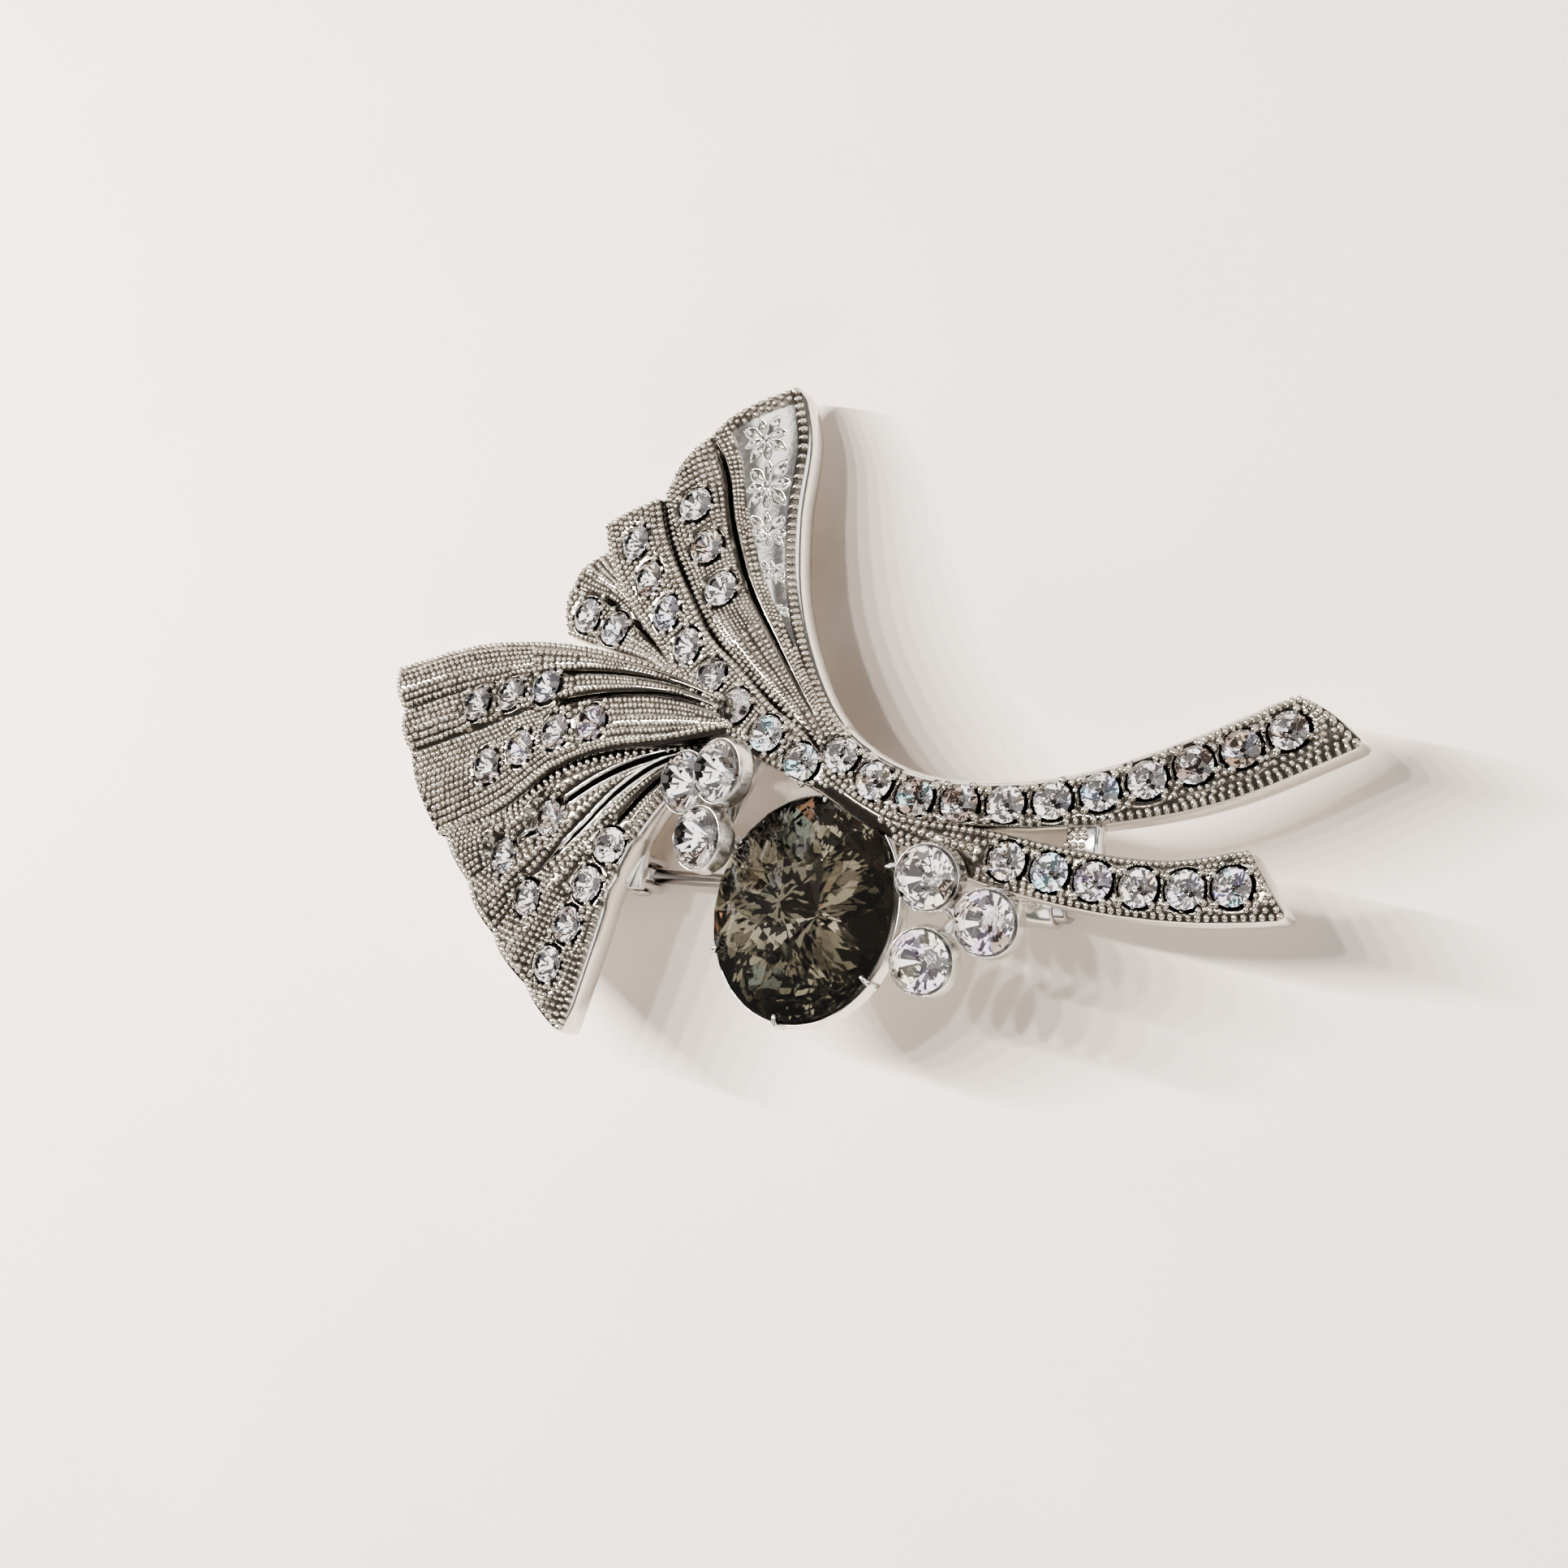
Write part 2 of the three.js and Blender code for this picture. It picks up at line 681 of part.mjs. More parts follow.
// Pin: an eye round the rivet and a wire that tapers to a point.
const eye = new THREE.Shape();
eye.absarc(0, 0, EYE_RADIUS, 0, 2 * Math.PI, false);
eye.holes.push(circleHole(RIVET_DIAMETER / 2 + PLAY / 2));
const WIRE_START = 0.75; // inside the eye's rim
const TAPER = 3;
const POINT_RADIUS = 0.08;
const pinEnd = catchAt + PIN_OVERHANG;
const wireProfile = [
  [0, WIRE_START],
  [PIN_DIAMETER / 2, WIRE_START],
  [PIN_DIAMETER / 2, pinEnd - TAPER],
  [POINT_RADIUS, pinEnd],
  [0, pinEnd],
];
const wire = turned(wireProfile, 8).rotateY(Math.PI / 2);
const pin = join([solidOf(plateAcross(eye, -EYE_THICKNESS / 2, EYE_THICKNESS)), solidOf(wire)]);
addMesh("pin_stem", geometryOf(pin), PLATED, undefined, finding);

// A ring round the pin's axis with a slot towards the cloth.
function slottedRing(outer, inner, slot) {
  const outerGap = Math.asin(slot / 2 / outer);
  const innerGap = Math.asin(slot / 2 / inner);
  const down = -Math.PI / 2;
  const ring = new THREE.Shape();
  ring.absarc(0, 0, outer, down + outerGap, down + 2 * Math.PI - outerGap, false);
  ring.absarc(0, 0, inner, down + 2 * Math.PI - innerGap, down + innerGap, true);
  return ring;
}

// Catch barrel: a slotted tube on a post and a plate under the lower tail.
const barrel = slottedRing(FINDING_RADIUS, ROTOR_RADIUS + PLAY, CATCH_SLOT + PLAY);
const catchPost = {
  size: [1.6, 1.2, 1.6],
  middle: [catchAt - 0.2, 0.2, FINDING_RADIUS + 0.6],
};
const catchPlate = {
  size: [3, 3, PLATE_THICKNESS],
  middle: [catchAt - 0.2, 1.2, 2.5 + PLATE_THICKNESS / 2],
};
const catchBarrel = join([
  solidOf(barrelAlong(barrel, catchAt - CATCH_LENGTH / 2, CATCH_LENGTH)),
  block(catchPost),
  block(catchPlate),
]);
addMesh("catch_barrel", geometryOf(catchBarrel), PLATED, undefined, finding);

// Catch rotor: a slotted tube that turns in the barrel, with a thumb lever past the barrel's end.
const LEVER_WIDTH = 0.9;
const LEVER_THICKNESS = 0.6;
const LEVER_START = 0.8; // from the pin's axis, inside the rotor's wall
const LEVER_REACH = 2.3;
const rotorStart = catchAt - CATCH_LENGTH / 2 - PLAY;
const rotorLength = CATCH_LENGTH + 2 * PLAY + LEVER_THICKNESS;
const rotorRing = slottedRing(ROTOR_RADIUS, ROTOR_BORE, CATCH_SLOT);
const leverMiddle = catchAt + CATCH_LENGTH / 2 + PLAY + LEVER_THICKNESS / 2;
const catchRotor = join([
  solidOf(barrelAlong(rotorRing, rotorStart, rotorLength)),
  block({
    size: [LEVER_THICKNESS, LEVER_REACH - LEVER_START, LEVER_WIDTH],
    middle: [leverMiddle, (LEVER_REACH + LEVER_START) / 2, 0],
  }),
]);
addMesh("catch_rotor", geometryOf(catchRotor), PLATED, undefined, finding);

// Room for the two plates in the casting's back.
const plateRooms = [hingePlate, catchPlate].map(({ size, middle }) => {
  const room = block({ size: size.map((side) => side + 2 * SOLDER_GAP), middle });
  return solidOf(geometryOf(room), finding.matrixWorld);
});

// The casting: the ribbons, the bridge between the tails and the arms under the cups, less the holes.
const arms = [
  bar(new THREE.Vector3(18.6, -7.4, 5.7), new THREE.Vector3(18.8, -10.2, 5.7), 2, 1.3),
  bar(new THREE.Vector3(-1.9, -4.2, 6.9), new THREE.Vector3(-3.2, -9.6, 4.8), 1.3, 1.2),
  bar(new THREE.Vector3(6.0, -7.6, 6.2), new THREE.Vector3(6.0, -9.6, 5.2), 1.6, 1.2),
];
const sheets = ribbons.map((ribbon) => ribbon.body());
const holes = join([...seatHoles, ...clusterRooms, ...plateRooms, centreRoom]);
const casting = join([...sheets, ...arms]).subtract(holes);
addMesh("ribbon_casting", geometryOf(casting), PLATED);

export default brooch;
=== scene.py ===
"""Ribbon spray brooch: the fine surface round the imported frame.

Sizes are millimetres in the frame's own axes until a mesh is made, which is in metres.
"""

import itertools
import math

import bpy
import bmesh
import numpy as np
from mathutils import Matrix, Vector


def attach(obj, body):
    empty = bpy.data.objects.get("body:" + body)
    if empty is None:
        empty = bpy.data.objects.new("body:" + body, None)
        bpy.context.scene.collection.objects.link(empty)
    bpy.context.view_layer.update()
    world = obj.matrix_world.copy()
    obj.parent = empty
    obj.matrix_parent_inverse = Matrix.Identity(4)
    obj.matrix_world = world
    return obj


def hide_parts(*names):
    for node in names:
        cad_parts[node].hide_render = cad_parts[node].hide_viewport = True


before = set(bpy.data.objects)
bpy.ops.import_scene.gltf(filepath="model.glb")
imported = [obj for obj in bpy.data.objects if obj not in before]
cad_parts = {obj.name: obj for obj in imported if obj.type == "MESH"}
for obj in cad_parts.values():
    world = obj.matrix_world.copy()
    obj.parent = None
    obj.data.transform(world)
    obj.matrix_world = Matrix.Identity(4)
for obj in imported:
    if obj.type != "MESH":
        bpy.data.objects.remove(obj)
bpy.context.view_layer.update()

MM = 0.001
rng = np.random.default_rng(7)

# ---- Driving dimensions, the same as the frame's ----------------------------------------------

CASTING_THICKNESS = 2.1
SMALL_STONE = 2.3
CHATON = 3.7
CENTRE_STONE = 13.7
CENTRE_POINT = (1.2, -13.2, 6.6)
CENTRE_LEAN = (-0.18, 0.01, 0.98)
HINGE_POINT = (-13.3, -10.4, 1.4)
CATCH_POINT = (14.2, -11.7, 1.4)
SEAT_GAP = 0.08
CUP_WALL = 0.25
PLAY = 0.1
FINDING_RADIUS = 1.4
PLATE_THICKNESS = 0.6
HINGE_PLATE_HEIGHT = 3.0
EAR_THICKNESS = 0.45
EAR_TOP = HINGE_PLATE_HEIGHT + 0.2
EYE_RADIUS = 1.05
EYE_THICKNESS = 0.9
RIVET_RADIUS = 0.4
PIN_RADIUS = 0.45
PIN_OVERHANG = 1.9
CATCH_LENGTH = 2.6
CATCH_SLOT = 1.2
CATCH_PLATE_HEIGHT = 2.5
ROTOR_RADIUS = 1.05
ROTOR_BORE = 0.65
LEVER_THICKNESS = 0.6


# ---- Curves and sheets ------------------------------------------------------------------------


def catmull(points, t):
    """A centripetal Catmull-Rom curve at t from 0 to 1. points may hold one curve for each t."""
    points = np.asarray(points, float)
    if points.ndim == 2:
        points = np.repeat(points[:, None, :], len(t), axis=1)
    before, after = 2 * points[0] - points[1], 2 * points[-1] - points[-2]
    line = np.concatenate([before[None], points, after[None]])
    place = np.clip(t, 0, 1) * (len(points) - 1)
    cell = np.minimum(place.astype(int), len(points) - 2)
    w = (place - cell)[:, None]
    each = np.arange(len(t))
    p0, p1, p2, p3 = (line[cell + k, each] for k in range(4))
    d0, d1, d2 = (
        np.sqrt(np.linalg.norm(b - a, axis=1))[:, None] for a, b in ((p0, p1), (p1, p2), (p2, p3))
    )
    start = ((p1 - p0) / d0 - (p2 - p0) / (d0 + d1) + (p2 - p1) / d1) * d1
    end = ((p2 - p1) / d1 - (p3 - p1) / (d1 + d2) + (p3 - p2) / d2) * d1
    cubic = 2 * (p1 - p2) + start + end
    square = 3 * (p2 - p1) - 2 * start - end
    return p1 + start * w + square * w**2 + cubic * w**3


def smooth(low, high, x):
    """0 below low, 1 above high, and an easy rise between."""
    t = np.clip((x - low) / (high - low), 0, 1)
    return t * t * (3 - 2 * t)


def unit(vectors):
    return vectors / np.linalg.norm(vectors, axis=-1, keepdims=True)


TABLE_STEPS = 81


class Ribbon:
    """A pleated sheet along u between guide curves set side by side from v = 0 to 1.

    channels[i] is the groove at the border below pleat i: (half width, depth, first u, last u,
    height of the polished rim beside it). rounding is the radius of the corners at each end, and
    bulge is how far the edge wall stands out at v = 0 and at v = 1. Each zone of beads is (first u,
    last u, smallest pitch). A tucked side is the one that meets another ribbon; its wall is painted
    dark there as shade: (v, the last u of the meeting).
    """

    def __init__(self, name, guides, pleats, crown, channels, rounding, bulge, zones, tucked=(-1, 0)):
        self.name = name
        self.guides = guides
        self.count = sum(pleats)
        self.borders = np.concatenate([[0], np.cumsum(pleats)])
        self.crown = crown
        self.channels = channels
        self.rounding = rounding
        self.bulge = bulge
        self.zones = zones
        self.tucked = tucked
        self.table = np.linspace(0, 1, TABLE_STEPS)
        edges = [self.line(k / self.count) for k in range(self.count + 1)]
        self.widths = np.array([np.linalg.norm(b - a, axis=1) for a, b in zip(edges, edges[1:])])
        steps = np.linalg.norm(np.diff(self.line(0.5), axis=0), axis=1)
        self.along = np.concatenate([[0], np.cumsum(steps)])
        self.seats = []

    def base(self, u, v):
        lines = np.stack([catmull(guide, u) for guide in self.guides])
        share = np.interp(v * self.count, self.borders, np.linspace(0, 1, len(self.guides)))
        return catmull(lines, share)

    def line(self, v):
        """Points along the sheet at one v, one for each step of the table."""
        return self.base(self.table, np.full(TABLE_STEPS, v))

    def arch(self, u, v):
        x = (v * self.count) % 1
        return self.crown(u) * 4 * x * (1 - x)

    def plain(self, u, v):
        """The arched face with nothing cut in it."""
        point = self.base(u, v)
        point[:, 2] += self.arch(u, v)
        return point

    def axes(self, u, v):
        """Unit vectors along the sheet, across it and out of it."""
        e = 0.004
        along = self.plain(np.minimum(u + e, 1), v) - self.plain(np.maximum(u - e, 0), v)
        across = self.base(u, np.minimum(v + e, 1)) - self.base(u, np.maximum(v - e, 0))
        out = unit(np.cross(along, across))
        out *= np.sign(out[:, 2:3])
        along = unit(along)
        return along, np.cross(out, along), out

    def pleat_width(self, u, v):
        pleat = np.minimum((v * self.count).astype(int), self.count - 1)
        widths = np.stack([np.interp(u, self.table, w) for w in self.widths])
        return pleat, widths[pleat, np.arange(len(u))]

    def channel_depth(self, u, v):
        """Depth of the grooves between pleats, and height of the plain rims beside them."""
        pleat, width = self.pleat_width(u, v)
        x = v * self.count - pleat
        depth, rim = np.zeros(len(u)), np.zeros(len(u))
        for border, (half, deep, first, last, raised) in self.channels.items():
            distance = np.where(pleat == border, x * width, np.inf)
            distance = np.where(pleat == border - 1, (1 - x) * width, distance)
            there = groove_range(first, last, u)
            narrow = half * (0.35 + 0.65 * there)
            depth = np.maximum(depth, deep * there * (1 - smooth(0.3 * narrow, narrow, distance)))
            close = 1 - smooth(0.05, 0.1, np.abs(distance - narrow - RIM_WIDTH / 2))
            rim = np.maximum(rim, close * there * raised)
        return depth, rim

    def round_corners(self, u, v):
        """Pulls the square's corners in, so that the sheet's corners are round."""
        u, v = u.copy(), v.copy()
        for end, radius in zip((0, 1), self.rounding):
            length = self.along[-1]
            width = np.interp(end, self.table, self.widths.sum(0))
            ru, rv = radius / length, min(radius / width, 0.5)
            for side in (0, 1):
                a = (ru - np.abs(u - end)) / ru
                b = (rv - np.abs(v - side)) / rv
                inside = (a > 0) & (b > 0)
                a, b = np.clip(a, 0, 1), np.clip(b, 0, 1)
                a2, b2 = a * np.sqrt(1 - b * b / 2), b * np.sqrt(1 - a * a / 2)
                u = np.where(inside, end + np.sign(0.5 - end) * ru * (1 - a2), u)
                v = np.where(inside, side + np.sign(0.5 - side) * rv * (1 - b2), v)
        return u, v

    def row_of_seats(self, u, v, pitch, count):
        """Seats at v, the first at u, the others a pitch apart: (point, along, across, out) each."""
        fine = np.arange(u, 1, 0.0005)
        line = self.plain(fine, np.full(len(fine), v))
        found = [0]
        for i in range(1, len(fine)):
            if len(found) < count and np.linalg.norm(line[i] - line[found[-1]]) >= pitch:
                found.append(i)
        at = fine[found]
        along, across, out = self.axes(at, np.full(len(at), v))
        seats = list(zip(line[found], along, across, out))
        self.seats += seats
        return seats


RIM_WIDTH = 0.14  # of the plain rim beside a groove


def groove_range(first, last, u):
    """1 where a groove is at its full depth, 0 past its ends."""
    return smooth(first - 0.03, first + 0.03, u) * (1 - smooth(last - 0.18, last + 0.02, u))


upper_ribbon = Ribbon(
    "upper_ribbon",
    [
        [
            (-5.0, 21.4, 2.8), (-3.6, 17.5, 3.6), (-3.2, 12.0, 4.6), (-2.3, 7.0, 5.3),
            (-0.6, 2.8, 6.1), (1.9, -1.2, 6.9), (4.5, -3.6, 7.4), (8.3, -5.4, 7.3),
            (13.5, -5.8, 6.9), (18.6, -5.1, 6.4), (25.2, -2.7, 5.7), (30.5, -0.2, 5.1),
        ],
        [
            (-10.4, 18.1, 3.8), (-8.7, 15.2, 4.4), (-7.4, 11.6, 5.1), (-5.3, 7.3, 5.9),
            (-2.5, 3.3, 6.6), (0.6, -0.8, 7.4), (3.4, -4.1, 7.9), (7.3, -6.3, 7.7),
            (13.2, -6.9, 7.2), (18.9, -6.2, 6.7), (25.6, -4.1, 6.0), (32.4, -1.3, 5.3),
        ],
        [
            (-13.0, 13.6, 4.5), (-11.8, 10.8, 5.1), (-10.0, 8.0, 5.7), (-7.9, 4.8, 6.2),
            (-5.0, 1.8, 6.7), (-1.3, -1.2, 7.3), (2.2, -4.6, 7.7), (6.2, -7.3, 7.5),
            (13.0, -8.1, 7.1), (19.3, -7.9, 6.5), (26.6, -6.4, 5.8), (34.4, -3.0, 5.1),
        ],
    ],
    [1, 1],
    lambda u: 0.1 + 0.5 * np.maximum(0, 1 - 2 * u),
    {1: (0.2, 0.5, 0.03, 0.46, 0.0), 2: (0.4, 1.2, 0.06, 0.56, 0.0)},
    rounding=(0.45, 0.5),
    bulge=(0.45, 0.12),
    zones=[(0, 0.55, 0.3), (0.55, 1, 0.46)],
)

lower_ribbon = Ribbon(
    "lower_ribbon",
    [
        [
            (-13.0, 13.5, 5.3), (-11.6, 10.4, 6.0), (-9.4, 7.0, 6.6), (-6.9, 3.6, 7.2),
            (-4.3, 1.4, 7.6), (-1.6, -1.0, 8.0), (1.2, -3.0, 8.2), (3.6, -5.6, 8.0),
            (7.0, -7.5, 7.5), (12.5, -8.3, 6.9), (19.0, -9.5, 6.5), (24.0, -9.9, 6.3),
            (28.5, -9.2, 6.1),
        ],
        [
            (-17.7, 12.3, 4.0), (-16.4, 9.4, 4.6), (-14.0, 6.2, 5.3), (-11.2, 3.4, 6.1),
            (-8.4, 0.6, 7.0), (-5.2, -2.2, 7.9), (-1.6, -4.5, 8.2), (1.8, -6.0, 8.0),
            (5.8, -8.4, 7.4), (11.0, -10.8, 6.9), (18.6, -12.7, 6.5), (24.8, -13.3, 6.3),
            (31.0, -13.1, 6.1),
        ],
    ],
    [1],
    lambda u: 0.25 + 0 * u,
    {},
    rounding=(0.25, 0.5),
    bulge=(0.02, 0.2),
    zones=[(0, 0.62, 0.38), (0.62, 1, 0.46)],
    tucked=(0, 0.6),
)

back_lobe = Ribbon(
    "back_lobe",
    [
        [(-8.6, 1.2, 6.2), (-12.5, 5.2, 4.9), (-15.2, 8.4, 4.2), (-17.4, 10.6, 3.6)],
        [(-8.3, 0.8, 6.4), (-12.6, 4.2, 4.8), (-16.2, 6.8, 4.0), (-20.1, 8.6, 3.1)],
        [(-8.1, 0.3, 6.6), (-12.2, 2.6, 5.4), (-16.2, 3.9, 4.2), (-20.2, 5.2, 3.0)],
    ],
    [1, 1],
    lambda u: 0.2 + 0.3 * u,
    {1: (0.2, 0.4, 0.0, 0.85, 0.0)},
    rounding=(0.3, 0.6),
    bulge=(0.1, 0.12),
    zones=[(0, 1, 0.3)],
)

fan_top = Ribbon(
    "fan_top",
    [
        [
            (-4.1, -0.8, 7.9), (-8.6, 1.2, 7.1), (-14.5, 3.0, 5.9), (-20.5, 4.2, 4.7),
            (-27.0, 4.5, 3.4), (-34.2, 3.4, 2.2),
        ],
        [
            (-4.2, -1.6, 8.0), (-8.8, -0.3, 7.7), (-13.8, 0.1, 6.9), (-19.5, -0.3, 5.9),
            (-25.2, -1.5, 4.7), (-31.8, -2.6, 2.8),
        ],
        [
            (-4.3, -2.6, 8.1), (-8.8, -3.3, 7.9), (-13.4, -3.5, 7.3), (-17.6, -4.5, 6.5),
            (-21.8, -6.8, 5.4), (-28.0, -8.6, 3.5),
        ],
    ],
    [2, 1],
    lambda u: 0.2 + 0.45 * u,
    {1: (0.15, 0.4, 0.0, 0.72, 0.0), 2: (0.18, 0.5, 0.0, 0.66, 0.0)},
    rounding=(0.3, 0.5),
    bulge=(0.12, 0.1),
    zones=[(0, 0.5, 0.28), (0.5, 1, 0.4)],
    tucked=(1, 0.75),
)

fan_bottom = Ribbon(
    "fan_bottom",
    [
        [
            (-6.0, -2.6, 6.0), (-9.2, -3.2, 6.5), (-13.4, -3.6, 6.5), (-17.6, -4.6, 6.0),
            (-21.8, -6.9, 5.1), (-27.9, -7.9, 3.3),
        ],
        [
            (-6.3, -3.2, 5.9), (-9.6, -4.3, 6.7), (-12.4, -6.1, 6.8), (-14.9, -8.3, 6.5),
            (-18.0, -10.9, 5.9), (-22.0, -15.0, 4.8),
        ],
        [
            (-6.6, -4.2, 5.6), (-8.9, -5.7, 6.0), (-10.6, -8.1, 6.4), (-12.1, -11.4, 6.8),
            (-13.3, -16.0, 6.8), (-14.9, -21.4, 6.5),
        ],
    ],
    [2, 2],
    lambda u: 0.15 + 0.5 * u,
    {
        1: (0.22, 0.45, 0.0, 0.9, 0.12),
        2: (0.16, 0.4, 0.0, 0.8, 0.1),
        3: (0.16, 0.4, 0.0, 0.72, 0.0),
    },
    rounding=(0.3, 0.5),
    bulge=(0.05, 0.3),
    zones=[(0, 0.45, 0.28), (0.45, 1, 0.42)],
)

stone_rows = [
    ("upper_tail_stone", upper_ribbon, 0.545, 0.5, 2.8, 11),
    ("main_row_stone", lower_ribbon, 0.064, 0.5, 3.15, 8),
    ("lower_tail_stone", lower_ribbon, 0.781, 0.5, 2.7, 6),
    ("upper_fan_stone", upper_ribbon, 0.095, 0.75, 3.4, 3),
    ("back_lobe_stone", back_lobe, 0.62, 0.75, 2.9, 2),
    ("fan_top_stone", fan_top, 0.585, 0.48, 3.1, 3),
    ("fan_middle_stone", fan_top, 0.45, 0.83, 3.1, 4),
    ("fan_edge_stone", fan_bottom, 0.55, 0.825, 2.8, 4),
    ("fan_lower_stone", fan_bottom, 0.7, 0.25, 4.6, 2),
    ("fan_pleat_stone", fan_bottom, 0.875, 0.54, SMALL_STONE, 1),
]


def standing(point, direction):
    """A matrix that stands a piece made along +Z on a point, leaning to the given direction."""
    turn = Vector((0, 0, 1)).rotation_difference(Vector(direction))
    return Matrix.Translation(Vector(point)) @ turn.to_matrix().to_4x4()


clusters = [
    (
        "left_cluster",
        (-0.3, -0.06, 0.95),
        [(-3.9, -5.5, 10.0), (-7.4, -5.7, 7.9), (-5.4, -9.4, 9.0)],
        (-4.4, -7.6, 7.0),
    ),
    (
        "right_cluster",
        (0.06, -0.17, 0.97),
        [(10.2, -11.6, 8.9), (10.1, -16.4, 8.4), (13.8, -14.0, 8.1)],
        (11.3, -13.6, 6.4),
    ),
]
centre_place = standing(CENTRE_POINT, CENTRE_LEAN)


# ---- Materials --------------------------------------------------------------------------------


class Shader:
    """A node material, with short calls for the nodes that the looks below are made of."""

    def __init__(self, name):
        self.material = bpy.data.materials.new(name)
        self.material.use_nodes = True
        self.nodes = self.material.node_tree.nodes
        self.links = self.material.node_tree.links
        self.surface = self.nodes["Principled BSDF"]

    def feed(self, socket, value):
        """Links the value to the socket, or sets it there if it is a constant."""
        if isinstance(value, bpy.types.NodeSocket):
            self.links.new(value, socket)
        else:
            socket.default_value = value

    def node(self, kind, settings=(), **inputs):
        made = self.nodes.new(kind)
        for key, value in dict(settings).items():
            setattr(made, key, value)
        for key, value in inputs.items():
            self.feed(made.inputs[key.replace("_", " ")], value)
        return made

    def set(self, **inputs):
        for key, value in inputs.items():
            self.feed(self.surface.inputs[key.replace("_", " ")], value)

    def place(self):
        return self.node("ShaderNodeTexCoord").outputs["Object"]

    def noise(self, scale, detail=3.0, roughness=0.55):
        made = self.node(
            "ShaderNodeTexNoise", Vector=self.place(), Scale=scale, Detail=detail, Roughness=roughness
        )
        return made.outputs["Fac"]

    def ramp(self, value, stops, interpolation="LINEAR"):
        made = self.node("ShaderNodeValToRGB", Fac=value)
        ramp = made.color_ramp
        ramp.interpolation = interpolation
        while len(ramp.elements) < len(stops):
            ramp.elements.new(0.5)
        for element, (position, colour) in zip(ramp.elements, stops):
            element.position = position
            element.color = (*colour, 1)
        return made.outputs["Color"]

    def span(self, value, low, high):
        made = self.node("ShaderNodeMapRange", Value=value, To_Min=low, To_Max=high)
        return made.outputs["Result"]

    def attribute(self, name):
        return self.node("ShaderNodeAttribute", {"attribute_name": name}).outputs["Fac"]

    def mix(self, share, first, second):
        made = self.node("ShaderNodeMix", {"data_type": "RGBA"})
        for place, value in ((0, share), (6, first), (7, second)):
            self.feed(made.inputs[place], value)
        return made.outputs[2]

    def bump(self, height, strength, distance):
        made = self.node("ShaderNodeBump", Height=height, Strength=strength, Distance=distance)
        return made.outputs["Normal"]


def bead_metal():
    """Bright plated beads, tarnished a little at random."""
    look = Shader("bead_metal")
    tones = [(0.3, (0.3, 0.27, 0.225)), (0.5, (0.5, 0.46, 0.4)), (0.7, (0.68, 0.635, 0.57))]
    tone = look.ramp(look.noise(900, 4), tones)
    look.set(Metallic=1.0, Base_Color=tone, Roughness=look.span(look.noise(2600), 0.06, 0.24))
    look.set(Normal=look.bump(look.noise(5200, 2), 0.3, 0.00003))
    return look.material


def ground_metal():
    """The sheet under the beads: black in the grooves as painted shade, brown between beads as painted
    shade with tarnish at random, bright where polished.
    """
    look = Shader("ground_metal")
    polish_and_shade = look.attribute("polish_and_shade")
    # Both tones carry the painted shade of polish_and_shade; the noise mixes them as tarnish.
    worn_with_painted_shade = look.ramp(
        polish_and_shade, [(0.0, (0.02, 0.018, 0.015)), (0.3, (0.2, 0.18, 0.155)), (0.9, (0.72, 0.7, 0.66))]
    )
    stained_with_painted_shade = look.ramp(
        polish_and_shade, [(0.0, (0.01, 0.009, 0.008)), (0.3, (0.07, 0.06, 0.05)), (0.9, (0.6, 0.575, 0.54))]
    )
    look.set(Metallic=1.0, Base_Color=look.mix(look.noise(1400, 5), stained_with_painted_shade, worn_with_painted_shade))
    look.set(Roughness=look.span(look.noise(1900), 0.06, 0.24))
    look.set(Normal=look.bump(look.noise(3000, 3), 0.2, 0.00004))
    return look.material


def polished_metal():
    """Rhodium-coloured plating with faint rub marks and small pits."""
    look = Shader("polished_metal")
    tone = look.ramp(look.noise(350, 5), [(0.3, (0.62, 0.6, 0.57)), (0.7, (0.8, 0.785, 0.76))])
    look.set(Metallic=1.0, Base_Color=tone, Roughness=look.span(look.noise(1200, 5), 0.08, 0.3))
    look.set(Normal=look.bump(look.noise(1600, 4), 0.12, 0.00006))
    return look.material


def wire_metal():
    """Drawn wire: fine lines along the pin."""
    look = Shader("wire_metal")
    stretch = look.node("ShaderNodeMapping", Vector=look.place(), Scale=(40, 3000, 3000)).outputs["Vector"]
    lines = look.node("ShaderNodeTexNoise", Vector=stretch, Scale=1.0, Detail=3.0).outputs["Fac"]
    tone = look.ramp(lines, [(0.3, (0.36, 0.34, 0.33)), (0.7, (0.55, 0.53, 0.52))])
    look.set(Metallic=1.0, Base_Color=tone, Roughness=look.span(lines, 0.12, 0.28))
    look.set(Normal=look.bump(lines, 0.15, 0.00003))
    return look.material


def glass(name, colour):
    """Cut glass, with the faintest change of tint."""
    look = Shader(name)
    low = tuple(0.97 * c for c in colour)
    look.set(Base_Color=look.ramp(look.noise(300, 2), [(0.3, low), (0.7, colour)]))
    look.set(Transmission_Weight=1.0, IOR=1.56, Roughness=0.0)
    return look.material


def foil(name, plain, painted_reflection_tints):
    """The mirror foil behind a stone. Each facet's own chance value picks its tint: plain, or a painted
    reflection or fire glint.
    """
    look = Shader(name)
    tone = look.ramp(look.attribute("chance"), [(0.0, plain)] + painted_reflection_tints, "CONSTANT")
    look.set(Metallic=1.0, Base_Color=tone, Roughness=look.span(look.noise(400), 0.0, 0.04))
    return look.material


